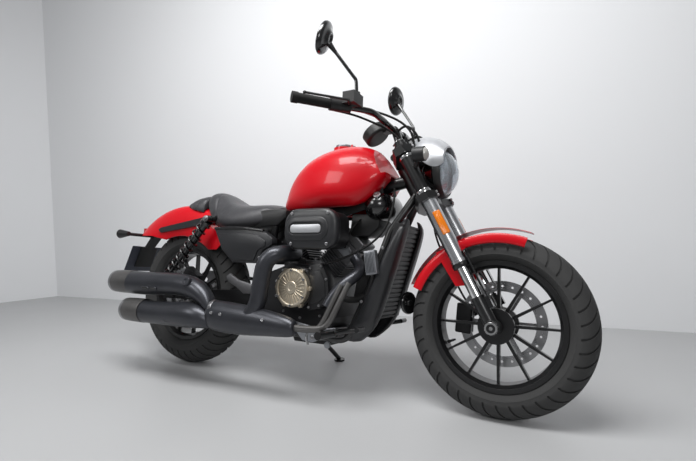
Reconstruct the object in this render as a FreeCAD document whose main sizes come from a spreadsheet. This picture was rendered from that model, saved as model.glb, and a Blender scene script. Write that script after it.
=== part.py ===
"""Cruiser motorcycle with a V-twin engine, leaning on its side stand.

The machine is modelled upright: X forward, Y to the rider's left, Z up, with the rear axle above
the origin and the ground at Z = 0. Parts of the front end are modelled in the fork's own frame,
whose origin is the front axle and whose Z runs up the fork tubes. At the end every part is leaned
onto the side stand and moved so that the middle of the machine's footprint is the origin.
"""
import FreeCAD, Part
import math
import os
import re

import Sketcher

Vector = FreeCAD.Vector
Placement = FreeCAD.Placement
Rotation = FreeCAD.Rotation

X_AXIS = Vector(1, 0, 0)
Y_AXIS = Vector(0, 1, 0)
Z_AXIS = Vector(0, 0, 1)

# Driving dimensions in millimetres and degrees.
SIZES = {
    # Stance
    "wheelbase": 1420,
    "lean_angle": 8,
    "rake": 28,
    "fork_offset": 45,
    "fit_gap": 0.2,
    "cut_overrun": 4,
    # Front wheel, 120/80-16
    "front_tyre_radius": 299,
    "front_tyre_half_width": 60,
    "front_sidewall_drop": 62,
    # Rear wheel, 150/80-16
    "rear_tyre_radius": 323,
    "rear_tyre_half_width": 75,
    "rear_sidewall_drop": 80,
    # Cast rims
    "rim_seat_radius": 203,
    "rim_flange_height": 10,
    "rim_flange_thickness": 5,
    "rim_depth": 15,
    "front_rim_half_width": 40,
    "rear_rim_half_width": 52,
    "spoke_count": 12,
    "spoke_root_half_width": 6,
    "spoke_tip_half_width": 3.5,
    "spoke_thickness": 20,
    "front_hub_radius": 34,
    "front_hub_half_width": 55,
    "rear_hub_radius": 48,
    "rear_hub_half_width": 58,
    "hub_flange_radius": 58,
    "hub_flange_thickness": 14,
    "axle_radius": 9,
    "axle_running_gap": 0.05,
    # Brake discs
    "front_disc_radius": 146,
    "front_disc_width": 36,
    "front_disc_offset": 62,
    "rear_disc_radius": 120,
    "rear_disc_width": 32,
    "rear_disc_offset": 72,
    "disc_thickness": 5,
    "disc_hole_radius": 4,
    "disc_hole_count": 24,
    "disc_carrier_radius": 52,
    "disc_arm_half_width": 9,
    "disc_arm_count": 6,
    # Final drive
    "sprocket_offset": 92,
    "sprocket_thickness": 6,
    "rear_sprocket_radius": 100,
    "front_sprocket_radius": 40,
    "front_sprocket_x": 545,
    "front_sprocket_z": 335,
    "sprocket_tooth_count": 44,
    "sprocket_tooth_depth": 6,
    "sprocket_window_radius": 16,
    "sprocket_window_circle": 70,
    "sprocket_window_count": 6,
    "chain_half_height": 7,
    "chain_plate_thickness": 2,
    "chain_half_width": 9,
    "chain_gap": 0.3,
    "chain_room": 5,
    "sprocket_cover_thickness": 12,
    "sprocket_cover_radius": 66,
    # Fork
    "fork_spacing": 100,
    "inner_tube_radius": 19,
    "inner_tube_low": 60,
    "outer_tube_radius": 26.5,
    "outer_tube_low": 223,
    "outer_tube_lip": 2,
    "outer_tube_lip_height": 14,
    "upper_tube_radius": 25,
    "fork_cap_top": 712,
    "fork_cap_radius": 21,
    "fork_cap_height": 14,
    "lower_clamp_low": 464,
    "lower_clamp_thickness": 26,
    "upper_clamp_low": 655,
    "upper_clamp_thickness": 30,
    "clamp_wall": 12,
    "clamp_waist": 34,
    "stem_radius": 13,
    "stem_nut_radius": 17,
    "stem_nut_height": 10,
    "head_tube_radius": 31,
    "head_tube_bore_gap": 1,
    "head_tube_end_gap": 0.3,
    # Axle lugs
    "lug_radius": 22,
    "lug_half_length": 44,
    "lug_top": 105,
    "lug_half_width": 22,
    "axle_boss_radius": 24,
    "axle_boss_half_width": 26,
    "axle_nut_radius": 14,
    "axle_nut_height": 8,
    "axle_spacer_radius": 15,
    "axle_bore_radius": 6,
    "axle_bore_depth": 40,
    # Front caliper
    "caliper_length": 104,
    "caliper_depth": 56,
    "caliper_half_width": 24,
    "caliper_gap": 1.5,
    "caliper_angle": 148,
    "caliper_reach": 30,
    "caliper_bracket_thickness": 10,
    # Front fender
    "front_fender_gap": 22,
    "front_fender_thickness": 3,
    "front_fender_half_width": 69,
    "front_fender_side_depth": 52,
    "front_fender_start_angle": 43,
    "front_fender_end_angle": 130,
    "front_fender_bracket_width": 74,
    "front_fender_bracket_low": 168,
    "front_fender_bracket_high": 300,
    # Fork guards
    "guard_low": 96,
    "guard_high": 262,
    "guard_half_width": 14,
    "guard_thickness": 5,
    "guard_forward": 30,
    # Headlight
    "headlight_x": 1224,
    "headlight_z": 826,
    "headlight_radius": 84,
    "headlight_back_radius": 46,
    "headlight_depth": 70,
    "headlight_rim_length": 16,
    "headlight_rim_step": 4,
    "lens_edge": 6,
    "lens_bulge": 46,
    "lens_margin": 2,
    # Headlight cowl
    "cowl_length": 140,
    "cowl_back_x": 1108,
    "cowl_half_width": 96,
    "cowl_height": 140,
    "cowl_low_z": 826,
    "cowl_clearance": 3,
    # Handlebar
    "bar_radius": 11,
    "bar_centre_x": 1046,
    "bar_centre_z": 992,
    "bar_clamp_half_width": 56,
    "bar_rise": 24,
    "bar_bend_y": 205,
    "bar_bend_x": 1028,
    "bar_end_x": 846,
    "bar_end_y": 418,
    "bar_end_z": 1020,
    "bar_bend_radius": 70,
    "riser_radius": 16,
    "riser_spacing": 40,
    "grip_radius": 17,
    "grip_length": 122,
    "grip_end_radius": 19,
    "grip_end_length": 10,
    # Bar controls
    "switch_length": 44,
    "switch_radius": 22,
    "perch_length": 30,
    "perch_radius": 19,
    "reservoir_length": 66,
    "reservoir_depth": 44,
    "reservoir_height": 40,
    "lever_half_width": 7,
    "lever_thickness": 8,
    "lever_forward": 62,
    # Mirrors
    "mirror_y": 319,
    "mirror_x": 889,
    "mirror_z": 1262,
    "mirror_half_height": 66,
    "mirror_half_width": 50,
    "mirror_depth": 26,
    "mirror_tilt": 28,
    "mirror_turn": 16,
    "stem_rod_radius": 6,
    "stem_rod_base_x": 1002,
    "stem_rod_base_y": 275,
    "stem_rod_base_z": 1024,
    "stem_rod_knee_z": 1108,
    "stem_rod_bend_radius": 24,
    "stem_sleeve_radius": 10,
    "stem_sleeve_length": 40,
    # Meter
    "meter_x": 946,
    "meter_z": 1001,
    "meter_radius": 52,
    "meter_depth": 40,
    "meter_tilt": 38,
    "meter_bracket_half_width": 18,
    "meter_bracket_thickness": 5,
    # Front indicators
    "front_indicator_x": 1186,
    "front_indicator_y": 158,
    "front_indicator_z": 862,
    "front_indicator_radius": 25,
    "front_indicator_depth": 40,
    "indicator_stalk_radius": 8,
    # Frame
    "frame_tube_radius": 15,
    "backbone_radius": 24,
    "backbone_rear_x": 590,
    "backbone_rear_z": 700,
    "backbone_front_s": 600,
    "downtube_top_s": 536,
    "downtube_half_spacing": 98,
    "downtube_top_half_spacing": 30,
    "downtube_mid_x": 1046,
    "downtube_mid_z": 610,
    "downtube_low_x": 958,
    "downtube_low_z": 330,
    "cradle_z": 205,
    "cradle_front_x": 900,
    "cradle_rear_x": 508,
    "pivot_x": 462,
    "pivot_tube_half_spacing": 62,
    "pivot_z": 340,
    "frame_bend_radius": 60,
    "seat_rail_half_spacing": 92,
    "seat_rail_front_x": 545,
    "seat_rail_front_z": 660,
    "seat_rail_rear_x": 205,
    "seat_rail_rear_z": 655,
    "pivot_plate_thickness": 12,
    "pivot_plate_half_length": 42,
    "pivot_plate_height": 150,
    # Swingarm
    "arm_half_height": 22,
    "arm_half_thickness": 14,
    "arm_offset": 124,
    "arm_tail": 62,
    "arm_pivot_radius": 28,
    "arm_cross_x": 400,
    "rear_axle_nut_radius": 15,
    "rear_axle_nut_height": 10,
    # Shock absorbers
    "shock_top_x": 215,
    "shock_top_z": 664,
    "shock_low_x": -42,
    "shock_low_z": 378,
    "shock_offset": 154,
    "shock_eye_radius": 15,
    "shock_boss_radius": 12,
    "shock_eye_half_width": 11,
    "shock_rod_radius": 7,
    "shock_body_radius": 17,
    "shock_cap_radius": 25,
    "shock_cap_height": 16,
    "shock_pin_radius": 7,
    "spring_radius": 23,
    "spring_wire_radius": 4.5,
    "spring_turns": 9,
    # Engine
    "crank_x": 700,
    "crank_z": 388,
    "case_length": 350,
    "case_height": 250,
    "case_rear_x": 508,
    "case_low_z": 232,
    "case_half_width": 116,
    "sump_low_z": 170,
    "sump_half_width": 52,
    "sump_front_x": 835,
    "sump_rear_x": 600,
    "sump_height": 66,
    "side_case_depth": 48,
    "front_cylinder_angle": 44,
    "rear_cylinder_angle": 31,
    "cylinder_half_length": 58,
    "cylinder_half_width": 60,
    "cylinder_base": 108,
    "barrel_height": 74,
    "fin_count": 7,
    "fin_thickness": 4,
    "fin_depth": 8,
    "head_height": 66,
    "head_cover_height": 38,
    "head_cover_inset": 7,
    "clutch_radius": 73,
    "clutch_depth": 22,
    "clutch_edge": 8,
    "clutch_boss_radius": 9,
    "clutch_boss_count": 6,
    "left_cover_radius": 84,
    "left_cover_depth": 40,
    # Air cleaner
    "air_cover_x": 788,
    "air_cover_z": 608,
    "air_cover_length": 232,
    "air_cover_height": 152,
    "air_cover_depth": 42,
    "air_cover_corner": 46,
    "air_cover_edge": 12,
    "air_cover_outer_y": 218,
    "air_body_inset": 8,
    "air_body_depth": 70,
    # Radiator and shroud
    "radiator_top_z": 640,
    "radiator_low_z": 300,
    "radiator_top_x": 1082,
    "radiator_low_x": 985,
    "radiator_thickness": 34,
    "radiator_half_width": 104,
    "fin_row_count": 20,
    "fin_row_height": 6,
    "fin_row_depth": 5,
    "shroud_half_width": 128,
    "shroud_top_half_width": 74,
    "shroud_wall": 6,
    "chin_x": 864,
    "chin_low_z": 196,
    "chin_half_width": 100,
    # Exhaust
    "header_radius": 19,
    "pipe_cover_radius": 28,
    "muffler_radius": 50,
    "muffler_wall": 4,
    "muffler_mouth_depth": 60,
    "upper_muffler_tip_x": -268,
    "upper_muffler_z": 372,
    "upper_muffler_y": 232,
    "upper_muffler_front_x": 190,
    "lower_muffler_tip_x": -154,
    "lower_muffler_z": 251,
    "lower_muffler_y": 246,
    "lower_muffler_front_x": 300,
    "exhaust_joint_x": 352,
    "header_knee_x": 916,
    "header_knee_z": 425,
    "header_low_x": 852,
    "rear_header_x": 540,
    "rear_pipe_z": 292,
    "front_pipe_z": 238,
    "pipe_y": 236,
    # Tank
    "tank_rear_x": 545,
    "tank_length": 485,
    "tank_low_z": 704,
    "tank_height": 250,
    "tank_half_width": 148,
    "tank_tunnel_half_width": 36,
    "tank_tunnel_clearance": 4,
    "steering_room": 64,
    "fuel_cap_x": 800,
    "fuel_cap_radius": 34,
    "fuel_cap_height": 12,
    "fuel_neck_radius": 42,
    "fuel_neck_height": 5,
    "fuel_cap_gap": 0.3,
    "hinge_offset": 8,
    "hinge_rise": 6.5,
    "hinge_radius": 4,
    "hinge_pin_radius": 2,
    "hinge_half_length": 8,
    "hinge_ear_thickness": 4,
    # Seat
    "seat_rear_x": 120,
    "seat_length": 412,
    "seat_low_z": 618,
    "seat_height": 190,
    "seat_half_width": 148,
    "tail_pad_rear_x": -28,
    "tail_pad_gap": 1,
    "tail_pad_half_width": 104,
    "tail_pad_height": 74,
    # Rear fender
    "rear_fender_centre_x": -20,
    "rear_fender_centre_z": 300,
    "rear_fender_radius": 447,
    "rear_fender_half_width": 98,
    "rear_fender_thickness": 3,
    "rear_fender_start_angle": 44,
    "rear_fender_end_angle": 137,
    "rear_fender_skirt_depth": 150,
    "rear_fender_crown": 34,
    "strut_front_x": 240,
    "strut_front_z": 676,
    "strut_rear_x": -150,
    "strut_rear_z": 622,
    "strut_half_height": 19,
    "strut_thickness": 12,
    # Side covers
    "side_cover_rear_x": 249,
    "side_cover_length": 282,
    "side_cover_low_z": 472,
    "side_cover_height": 154,
    "side_cover_inner_y": 122,
    "side_cover_depth": 40,
    "side_cover_edge": 10,
    # Tail
    "tail_lamp_x": -343,
    "tail_lamp_z": 606,
    "tail_lamp_half_width": 42,
    "tail_lamp_height": 34,
    "tail_lamp_depth": 24,
    "rear_indicator_x": -318,
    "rear_indicator_y": 176,
    "rear_indicator_z": 600,
    "rear_indicator_radius": 22,
    "rear_indicator_length": 66,
    "plate_half_width": 95,
    "plate_height": 140,
    "plate_thickness": 2,
    "plate_tilt": 24,
    "plate_top_x": -372,
    "plate_top_z": 545,
    "plate_backing": 8,
    # Rear caliper
    "rear_caliper_length": 84,
    "rear_caliper_depth": 44,
    "rear_caliper_half_width": 20,
    "rear_caliper_angle": 60,
    # Foot controls
    "peg_x": 880,
    "peg_z": 236,
    "peg_root_y": 150,
    "peg_length": 120,
    "peg_radius": 14,
    "peg_arm_radius": 9,
    "pedal_forward": 120,
    "pedal_rise": 26,
    "pedal_pad_length": 46,
    # Side stand
    "stand_pivot_x": 560,
    "stand_pivot_y": 136,
    "stand_pivot_z": 222,
    "stand_foot_x": 650,
    "stand_foot_y": 286,
    "stand_leg_radius": 10,
    "stand_foot_radius": 24,
    "stand_foot_thickness": 8,
    "stand_boss_radius": 15,
    "stand_boss_half_width": 8,
    "stand_bracket_gap": 0.3,
    "stand_bracket_length": 66,
    "stand_bracket_radius": 13,
    "stand_pin_radius": 6,
    "stand_pin_gap": 0.05,
    "stand_pin_head_radius": 10,
    "stand_pin_head_height": 4,
}

doc = FreeCAD.newDocument("motorcycle")
sheet = doc.addObject("Spreadsheet::Sheet", "sizes")
for row, (alias, value) in enumerate(SIZES.items(), start=1):
    sheet.set(f"A{row}", alias)
    sheet.set(f"B{row}", str(value))
    sheet.setAlias(f"B{row}", alias)
doc.recompute()


class SheetSizes:
    """Reads the sizes of the sheet by their aliases."""

    def __getattr__(self, alias):
        return float(getattr(sheet, alias))


size = SheetSizes()
nodes = []


# Places of the front end and of the lean

front_axle_z = size.front_tyre_radius - (size.rear_tyre_half_width - size.front_tyre_half_width) * (
    1 / math.cos(math.radians(size.lean_angle)) - 1
)
fork_place = Placement(
    Vector(size.wheelbase, 0, front_axle_z), Rotation(Y_AXIS, -size.rake)
)
front_wheel_place = Placement(Vector(size.wheelbase, 0, front_axle_z), Rotation())
rear_wheel_place = Placement(Vector(0, 0, size.rear_tyre_radius), Rotation())
lean_place = Placement(
    Vector(0, 0, 0), Rotation(X_AXIS, -size.lean_angle), Vector(0, 0, size.rear_tyre_half_width)
)


def fork_point(x, y, s):
    """Point of the fork's frame, given in the upright frame."""
    return fork_place.multVec(Vector(x, y, s))


# Direction of the side stand's pivot, as shares along X, Y and Z
STAND_AXIS_SHARES = (-0.15, 1, 0.3)
stand_axis = Vector(*STAND_AXIS_SHARES).normalize()


# Features made from sketches


def bind(text):
    """Expression text with the sheet's name put before each alias."""
    return re.sub(r"[a-z]\w+", lambda found: (
        f"sizes.{found.group()}" if found.group() in SIZES else found.group()
    ), str(text))


def new_body(node):
    body = doc.addObject("PartDesign::Body", node)
    return body


def new_sketch(body, role, offset=None):
    """Sketch on one of the body's own origin planes, moved along its normal by an expression."""
    plane = [item for item in body.Origin.OriginFeatures if item.Role == role][0]
    sketch = body.newObject("Sketcher::SketchObject", body.Name + "_sketch")
    sketch.AttachmentSupport = [(plane, "")]
    sketch.MapMode = "FlatFace"
    if offset is not None:
        sketch.setExpression("AttachmentOffset.Base.z", bind(offset))
    return sketch


def distance(sketch, kind, edge, end, text):
    """Signed distance of a point from the origin along X or Y, bound to an expression."""
    bound = bind(text)
    value = float(sketch.evalExpression(bound))
    constraint = Sketcher.Constraint("Distance" + kind, -1, 1, edge, end, value)
    index = sketch.addConstraint(constraint)
    sketch.setExpression(f"Constraints[{index}]", bound)


def outline(sketch, points):
    """Closed polygon whose corners are pairs of expressions."""
    corners = [
        Vector(float(sketch.evalExpression(bind(x))), float(sketch.evalExpression(bind(y))), 0)
        for x, y in points
    ]
    first = sketch.GeometryCount
    for start, end in zip(corners, corners[1:] + corners[:1]):
        sketch.addGeometry(Part.LineSegment(start, end), False)
    for step in range(len(points)):
        follower = (step + 1) % len(points)
        sketch.addConstraint(
            Sketcher.Constraint("Coincident", first + step, 2, first + follower, 1)
        )
    for step, (x, y) in enumerate(points):
        distance(sketch, "X", first + step, 1, x)
        distance(sketch, "Y", first + step, 1, y)


def shared_outline(sketch, shares, across, along, start_x="0", start_y="0"):
    """Closed polygon given as shares of two sizes, counted from a corner."""
    outline(
        sketch,
        [(f"{start_x} + {a} * {across}", f"{start_y} + {b} * {along}") for a, b in shares],
    )


def circle(sketch, x, y, radius):
    """Circle at a pair of expressions."""
    centre = Vector(
        float(sketch.evalExpression(bind(x))), float(sketch.evalExpression(bind(y))), 0
    )
    value = float(sketch.evalExpression(bind(radius)))
    index = sketch.addGeometry(Part.Circle(centre, Z_AXIS, value), False)
    constraint = sketch.addConstraint(Sketcher.Constraint("Radius", index, value))
    sketch.setExpression(f"Constraints[{constraint}]", bind(radius))
    distance(sketch, "X", index, 3, x)
    distance(sketch, "Y", index, 3, y)


def pad(body, sketch, length, centred=False, reverse=False):
    """Pad of a sketch along its normal."""
    feature = body.newObject("PartDesign::Pad", body.Name + "_pad")
    feature.Profile = sketch
    feature.setExpression("Length", bind(length))
    feature.Midplane = centred
    feature.Reversed = reverse
    sketch.Visibility = False
    return feature


def pocket(body, sketch, length=None, centred=False, reverse=False):
    """Pocket of a sketch, through everything when it has no length."""
    feature = body.newObject("PartDesign::Pocket", body.Name + "_pocket")
    feature.Profile = sketch
    if length is None:
        feature.Type = "ThroughAll"
    else:
        feature.setExpression("Length", bind(length))
    feature.Midplane = centred
    feature.Reversed = reverse
    sketch.Visibility = False
    return feature


def revolve(body, sketch, axis="V_Axis"):
    """Full turn of a sketch about one of its own axes."""
    feature = body.newObject("PartDesign::Revolution", body.Name + "_turn")
    feature.Profile = sketch
    feature.ReferenceAxis = (sketch, [axis])
    feature.Angle = 360
    sketch.Visibility = False
    return feature


def repeat(body, feature, sketch, count):
    """Copies of a feature round the normal of its sketch."""
    pattern = body.newObject("PartDesign::PolarPattern", body.Name + "_pattern")
    pattern.Originals = [feature]
    pattern.Axis = (sketch, ["N_Axis"])
    pattern.Angle = 360
    pattern.setExpression("Occurrences", bind(count))
    body.Tip = pattern
    return pattern


def keep(node, item, place=None):
    """Names a finished part and puts it into the upright frame."""
    item.Label = node
    if place is not None:
        item.Placement = place
    nodes.append(item)
    return item


def keep_shape(node, shape, place=None):
    """Finished part whose shape is worked out from the sheet by Part's own functions."""
    item = doc.addObject("Part::Feature", node)
    item.Shape = shape
    return keep(node, item, place)


# Shapes worked out from points


def tube(points, radius, bend):
    """Round bar along straight runs that tangent arcs of one radius join."""
    edges = []
    start = points[0]
    for before, corner, after in zip(points, points[1:], points[2:]):
        into = (corner - before).normalize()
        out = (after - corner).normalize()
        half_turn = into.getAngle(out) / 2
        inset = bend * math.tan(half_turn)
        arc_start = corner - into * inset
        arc_end = corner + out * inset
        inward = (out - into).normalize()
        arc_middle = corner + inward * (bend / math.cos(half_turn) - bend)
        edges.append(Part.LineSegment(start, arc_start).toShape())
        edges.append(Part.Arc(arc_start, arc_middle, arc_end).toShape())
        start = arc_end
    edges.append(Part.LineSegment(start, points[-1]).toShape())
    path = Part.Wire(edges)
    direction = points[1] - points[0]
    section = Part.Wire([Part.makeCircle(radius, points[0], direction)])
    return path.makePipeShell([section], True, False)


def rod(start, end, radius):
    """Straight round bar between two points."""
    return Part.makeCylinder(radius, (end - start).Length, start, end - start)


def smooth_section(points):
    """Closed smooth wire through points."""
    curve = Part.BSplineCurve()
    curve.interpolate(points, PeriodicFlag=True)
    return Part.Wire([curve.toShape()])


def loft(wires):
    """Smooth solid through closed wires."""
    return Part.makeLoft(wires, True, False)


def fused(shapes):
    """One solid from shapes that meet."""
    return shapes[0].fuse(shapes[1:]).removeSplitter()


def both_sides(shape):
    """The shape and its mirror image on the other side of the machine."""
    return Part.makeCompound([shape, shape.mirror(Vector(), Y_AXIS)])


def box_between(low, high):
    """Box from its lowest to its highest corner."""
    span = high - low
    return Part.makeBox(span.x, span.y, span.z, low)


def plate(points, normal, thickness):
    """Flat plate from corner points, thickened along a normal."""
    wire = Part.makePolygon(points + points[:1])
    return Part.Face(wire).extrude(normal * thickness)


# Wheels


def make_tyre(node, side, place):
    """Tyre: round crown, sidewalls and beads that seat on the rim."""
    body = new_body(node)
    sketch = new_sketch(body, "XY_Plane")
    crown = f"{side}_tyre_radius"
    half = f"{side}_tyre_half_width"
    rim = f"{side}_rim_half_width"
    profile = []
    for turn in CROWN_TURN_SHARES:
        angle = turn * math.pi / 2
        profile.append((
            f"{crown} - {half} + {half} * {math.cos(angle):.6f}",
            f"{half} * {math.sin(angle):.6f}",
        ))
    profile.append((f"{crown} - {side}_sidewall_drop", f"{half} * 0.96"))
    profile.append(("rim_seat_radius + rim_flange_height + rim_flange_thickness", f"{rim} + rim_flange_thickness"))
    profile.append(("rim_seat_radius + rim_flange_height", rim))
    profile.append(("rim_seat_radius", rim))
    mirrored = [(x, f"-({y})") for x, y in reversed(profile[1:])]
    outline(sketch, profile + mirrored)
    revolve(body, sketch)
    return keep(node, body, place)


CROWN_TURN_SHARES = (0, 0.13, 0.26, 0.4, 0.55, 0.7, 0.86)


def make_rim(node, side, place):
    """Cast wheel: rim, tapered spokes and hub, bored for the axle."""
    body = new_body(node)
    rim = f"{side}_rim_half_width"
    hub = f"{side}_hub_half_width"
    ring = new_sketch(body, "XY_Plane")
    outline(ring, [
        ("rim_seat_radius", f"-{rim}"),
        ("rim_seat_radius + rim_flange_height", f"-{rim}"),
        ("rim_seat_radius + rim_flange_height", f"-{rim} - rim_flange_thickness"),
        ("rim_seat_radius - rim_flange_thickness", f"-{rim} - rim_flange_thickness"),
        ("rim_seat_radius - rim_depth", f"-{rim} * 0.7"),
        ("rim_seat_radius - rim_depth", f"{rim} * 0.7"),
        ("rim_seat_radius - rim_flange_thickness", f"{rim} + rim_flange_thickness"),
        ("rim_seat_radius + rim_flange_height", f"{rim} + rim_flange_thickness"),
        ("rim_seat_radius + rim_flange_height", rim),
        ("rim_seat_radius", rim),
    ])
    revolve(body, ring)
    spoke = new_sketch(body, "XZ_Plane")
    outline(spoke, [
        (f"{side}_hub_radius * 0.8", "-spoke_root_half_width"),
        ("rim_seat_radius - rim_depth / 2", "-spoke_tip_half_width"),
        ("rim_seat_radius - rim_depth / 2", "spoke_tip_half_width"),
        (f"{side}_hub_radius * 0.8", "spoke_root_half_width"),
    ])
    spoke_pad = pad(body, spoke, "spoke_thickness", centred=True)
    repeat(body, spoke_pad, spoke, "spoke_count")
    barrel = new_sketch(body, "XY_Plane")
    outline(barrel, [
        ("axle_radius + axle_running_gap", f"-{hub}"),
        ("hub_flange_radius", f"-{hub}"),
        ("hub_flange_radius", f"-{hub} + hub_flange_thickness"),
        (f"{side}_hub_radius", f"-{hub} + 2 * hub_flange_thickness"),
        (f"{side}_hub_radius", f"{hub} - 2 * hub_flange_thickness"),
        ("hub_flange_radius", f"{hub} - hub_flange_thickness"),
        ("hub_flange_radius", hub),
        ("axle_radius + axle_running_gap", hub),
    ])
    revolve(body, barrel)
    return keep(node, body, place)


def make_disc(node, side, direction, place):
    """Brake disc: drilled ring on arms from a carrier that sits on the hub."""
    body = new_body(node)
    offset = f"{direction} * {side}_disc_offset"
    inner = f"{side}_disc_radius - {side}_disc_width"
    ring = new_sketch(body, "XZ_Plane", f"-({offset})")
    circle(ring, "0", "0", f"{side}_disc_radius")
    circle(ring, "0", "0", inner)
    pad(body, ring, "disc_thickness", centred=True)
    arm = new_sketch(body, "XZ_Plane", f"-({offset})")
    outline(arm, [
        ("disc_carrier_radius - disc_arm_half_width", "-disc_arm_half_width"),
        (f"{inner} + disc_arm_half_width", "-disc_arm_half_width"),
        (f"{inner} + disc_arm_half_width", "disc_arm_half_width"),
        ("disc_carrier_radius - disc_arm_half_width", "disc_arm_half_width"),
    ])
    arm_pad = pad(body, arm, "disc_thickness", centred=True)
    repeat(body, arm_pad, arm, "disc_arm_count")
    carrier = new_sketch(body, "XZ_Plane", f"-{direction} * {side}_hub_half_width")
    circle(carrier, "0", "0", "disc_carrier_radius")
    circle(carrier, "0", "0", "front_hub_radius")
    depth = f"{side}_disc_offset - {side}_hub_half_width + disc_thickness / 2"
    pad(body, carrier, depth, reverse=direction > 0)
    hole = new_sketch(body, "XZ_Plane", f"-({offset})")
    circle(hole, f"{side}_disc_radius - {side}_disc_width / 2", "0", "disc_hole_radius")
    drilled = pocket(body, hole, "disc_thickness + cut_overrun", centred=True)
    repeat(body, drilled, hole, "disc_hole_count")
    return keep(node, body, place)


make_tyre("front_tyre", "front", front_wheel_place)
make_rim("front_rim", "front", front_wheel_place)
make_disc("front_disc", "front", 1, front_wheel_place)
make_tyre("rear_tyre", "rear", rear_wheel_place)
make_rim("rear_rim", "rear", rear_wheel_place)
make_disc("rear_disc", "rear", -1, rear_wheel_place)


def make_sprocket():
    """Rear sprocket: toothed plate on the left side of the hub."""
    body = new_body("rear_sprocket")
    blank = new_sketch(body, "XZ_Plane", "-sprocket_offset")
    circle(blank, "0", "0", "rear_sprocket_radius")
    circle(blank, "0", "0", "front_hub_radius")
    pad(body, blank, "sprocket_thickness", centred=True)
    carrier = new_sketch(body, "XZ_Plane", "-rear_hub_half_width")
    circle(carrier, "0", "0", "disc_carrier_radius")
    circle(carrier, "0", "0", "front_hub_radius")
    pad(body, carrier, "sprocket_offset - rear_hub_half_width", reverse=True)
    window = new_sketch(body, "XZ_Plane", "-sprocket_offset")
    circle(window, "sprocket_window_circle", "0", "sprocket_window_radius")
    opened = pocket(body, window, "sprocket_thickness + cut_overrun", centred=True)
    repeat(body, opened, window, "sprocket_window_count")
    return keep("rear_sprocket", body, rear_wheel_place)


make_sprocket()


def make_chain():
    """Drive chain: one closed loop of side plates with rollers between them."""
    rear = Vector(0, 0, size.rear_tyre_radius)
    front = Vector(size.front_sprocket_x, 0, size.front_sprocket_z)
    line = front - rear
    full = size.chain_half_height
    slim = full * 0.6

    def band(grow, low_y, high_y):
        rear_radius = size.rear_sprocket_radius + size.chain_gap + slim + grow
        front_radius = size.front_sprocket_radius + size.chain_gap + slim + grow
        tilt = math.acos((rear_radius - front_radius) / line.Length)
        heading = math.atan2(line.z, line.x)

        def at(centre, radius, angle):
            return Vector(
                centre.x + radius * math.cos(angle), low_y, centre.z + radius * math.sin(angle)
            )

        upper = heading + tilt
        lower = heading - tilt
        behind = heading + math.pi
        edges = [
            Part.LineSegment(
                at(rear, rear_radius, upper), at(front, front_radius, upper)
            ).toShape(),
            Part.Arc(
                at(front, front_radius, upper),
                at(front, front_radius, heading),
                at(front, front_radius, lower),
            ).toShape(),
            Part.LineSegment(
                at(front, front_radius, lower), at(rear, rear_radius, lower)
            ).toShape(),
            Part.Arc(
                at(rear, rear_radius, lower),
                at(rear, rear_radius, behind),
                at(rear, rear_radius, upper),
            ).toShape(),
        ]
        return Part.Face(Part.Wire(edges)).extrude(Vector(0, high_y - low_y, 0))

    left = size.sprocket_offset + size.chain_half_width
    right = size.sprocket_offset - size.chain_half_width
    thickness = size.chain_plate_thickness
    plates = []
    for low, high in ((right, right + thickness), (left - thickness, left)):
        plates.append(band(full, low, high).cut(band(-full, low, high)))
    rollers = band(slim, right, left).cut(band(-slim, right, left))
    return keep_shape("drive_chain", fused([rollers] + plates))


make_chain()


# Fork, in its own frame


def make_fork_tubes():
    """Silver outer tubes, dark upper tubes and polished inner tubes, a pair of each."""
    spacing = size.fork_spacing

    def pair(low, high, radius):
        start = Vector(0, spacing, low)
        return rod(start, Vector(0, spacing, high), radius)

    lip = pair(
        size.outer_tube_low,
        size.outer_tube_low + size.outer_tube_lip_height,
        size.outer_tube_radius + size.outer_tube_lip,
    )
    outer = pair(size.outer_tube_low, size.lower_clamp_low, size.outer_tube_radius)
    keep_shape("fork_outer_tubes", both_sides(fused([outer, lip])), fork_place)
    upper = pair(size.lower_clamp_low, size.fork_cap_top - size.fork_cap_height, size.upper_tube_radius)
    cap = pair(size.fork_cap_top - size.fork_cap_height, size.fork_cap_top, size.fork_cap_radius)
    keep_shape("fork_upper_tubes", both_sides(fused([upper, cap])), fork_place)
    inner = pair(size.lug_top, size.outer_tube_low, size.inner_tube_radius)
    keep_shape("fork_inner_tubes", both_sides(inner), fork_place)


make_fork_tubes()


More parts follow.
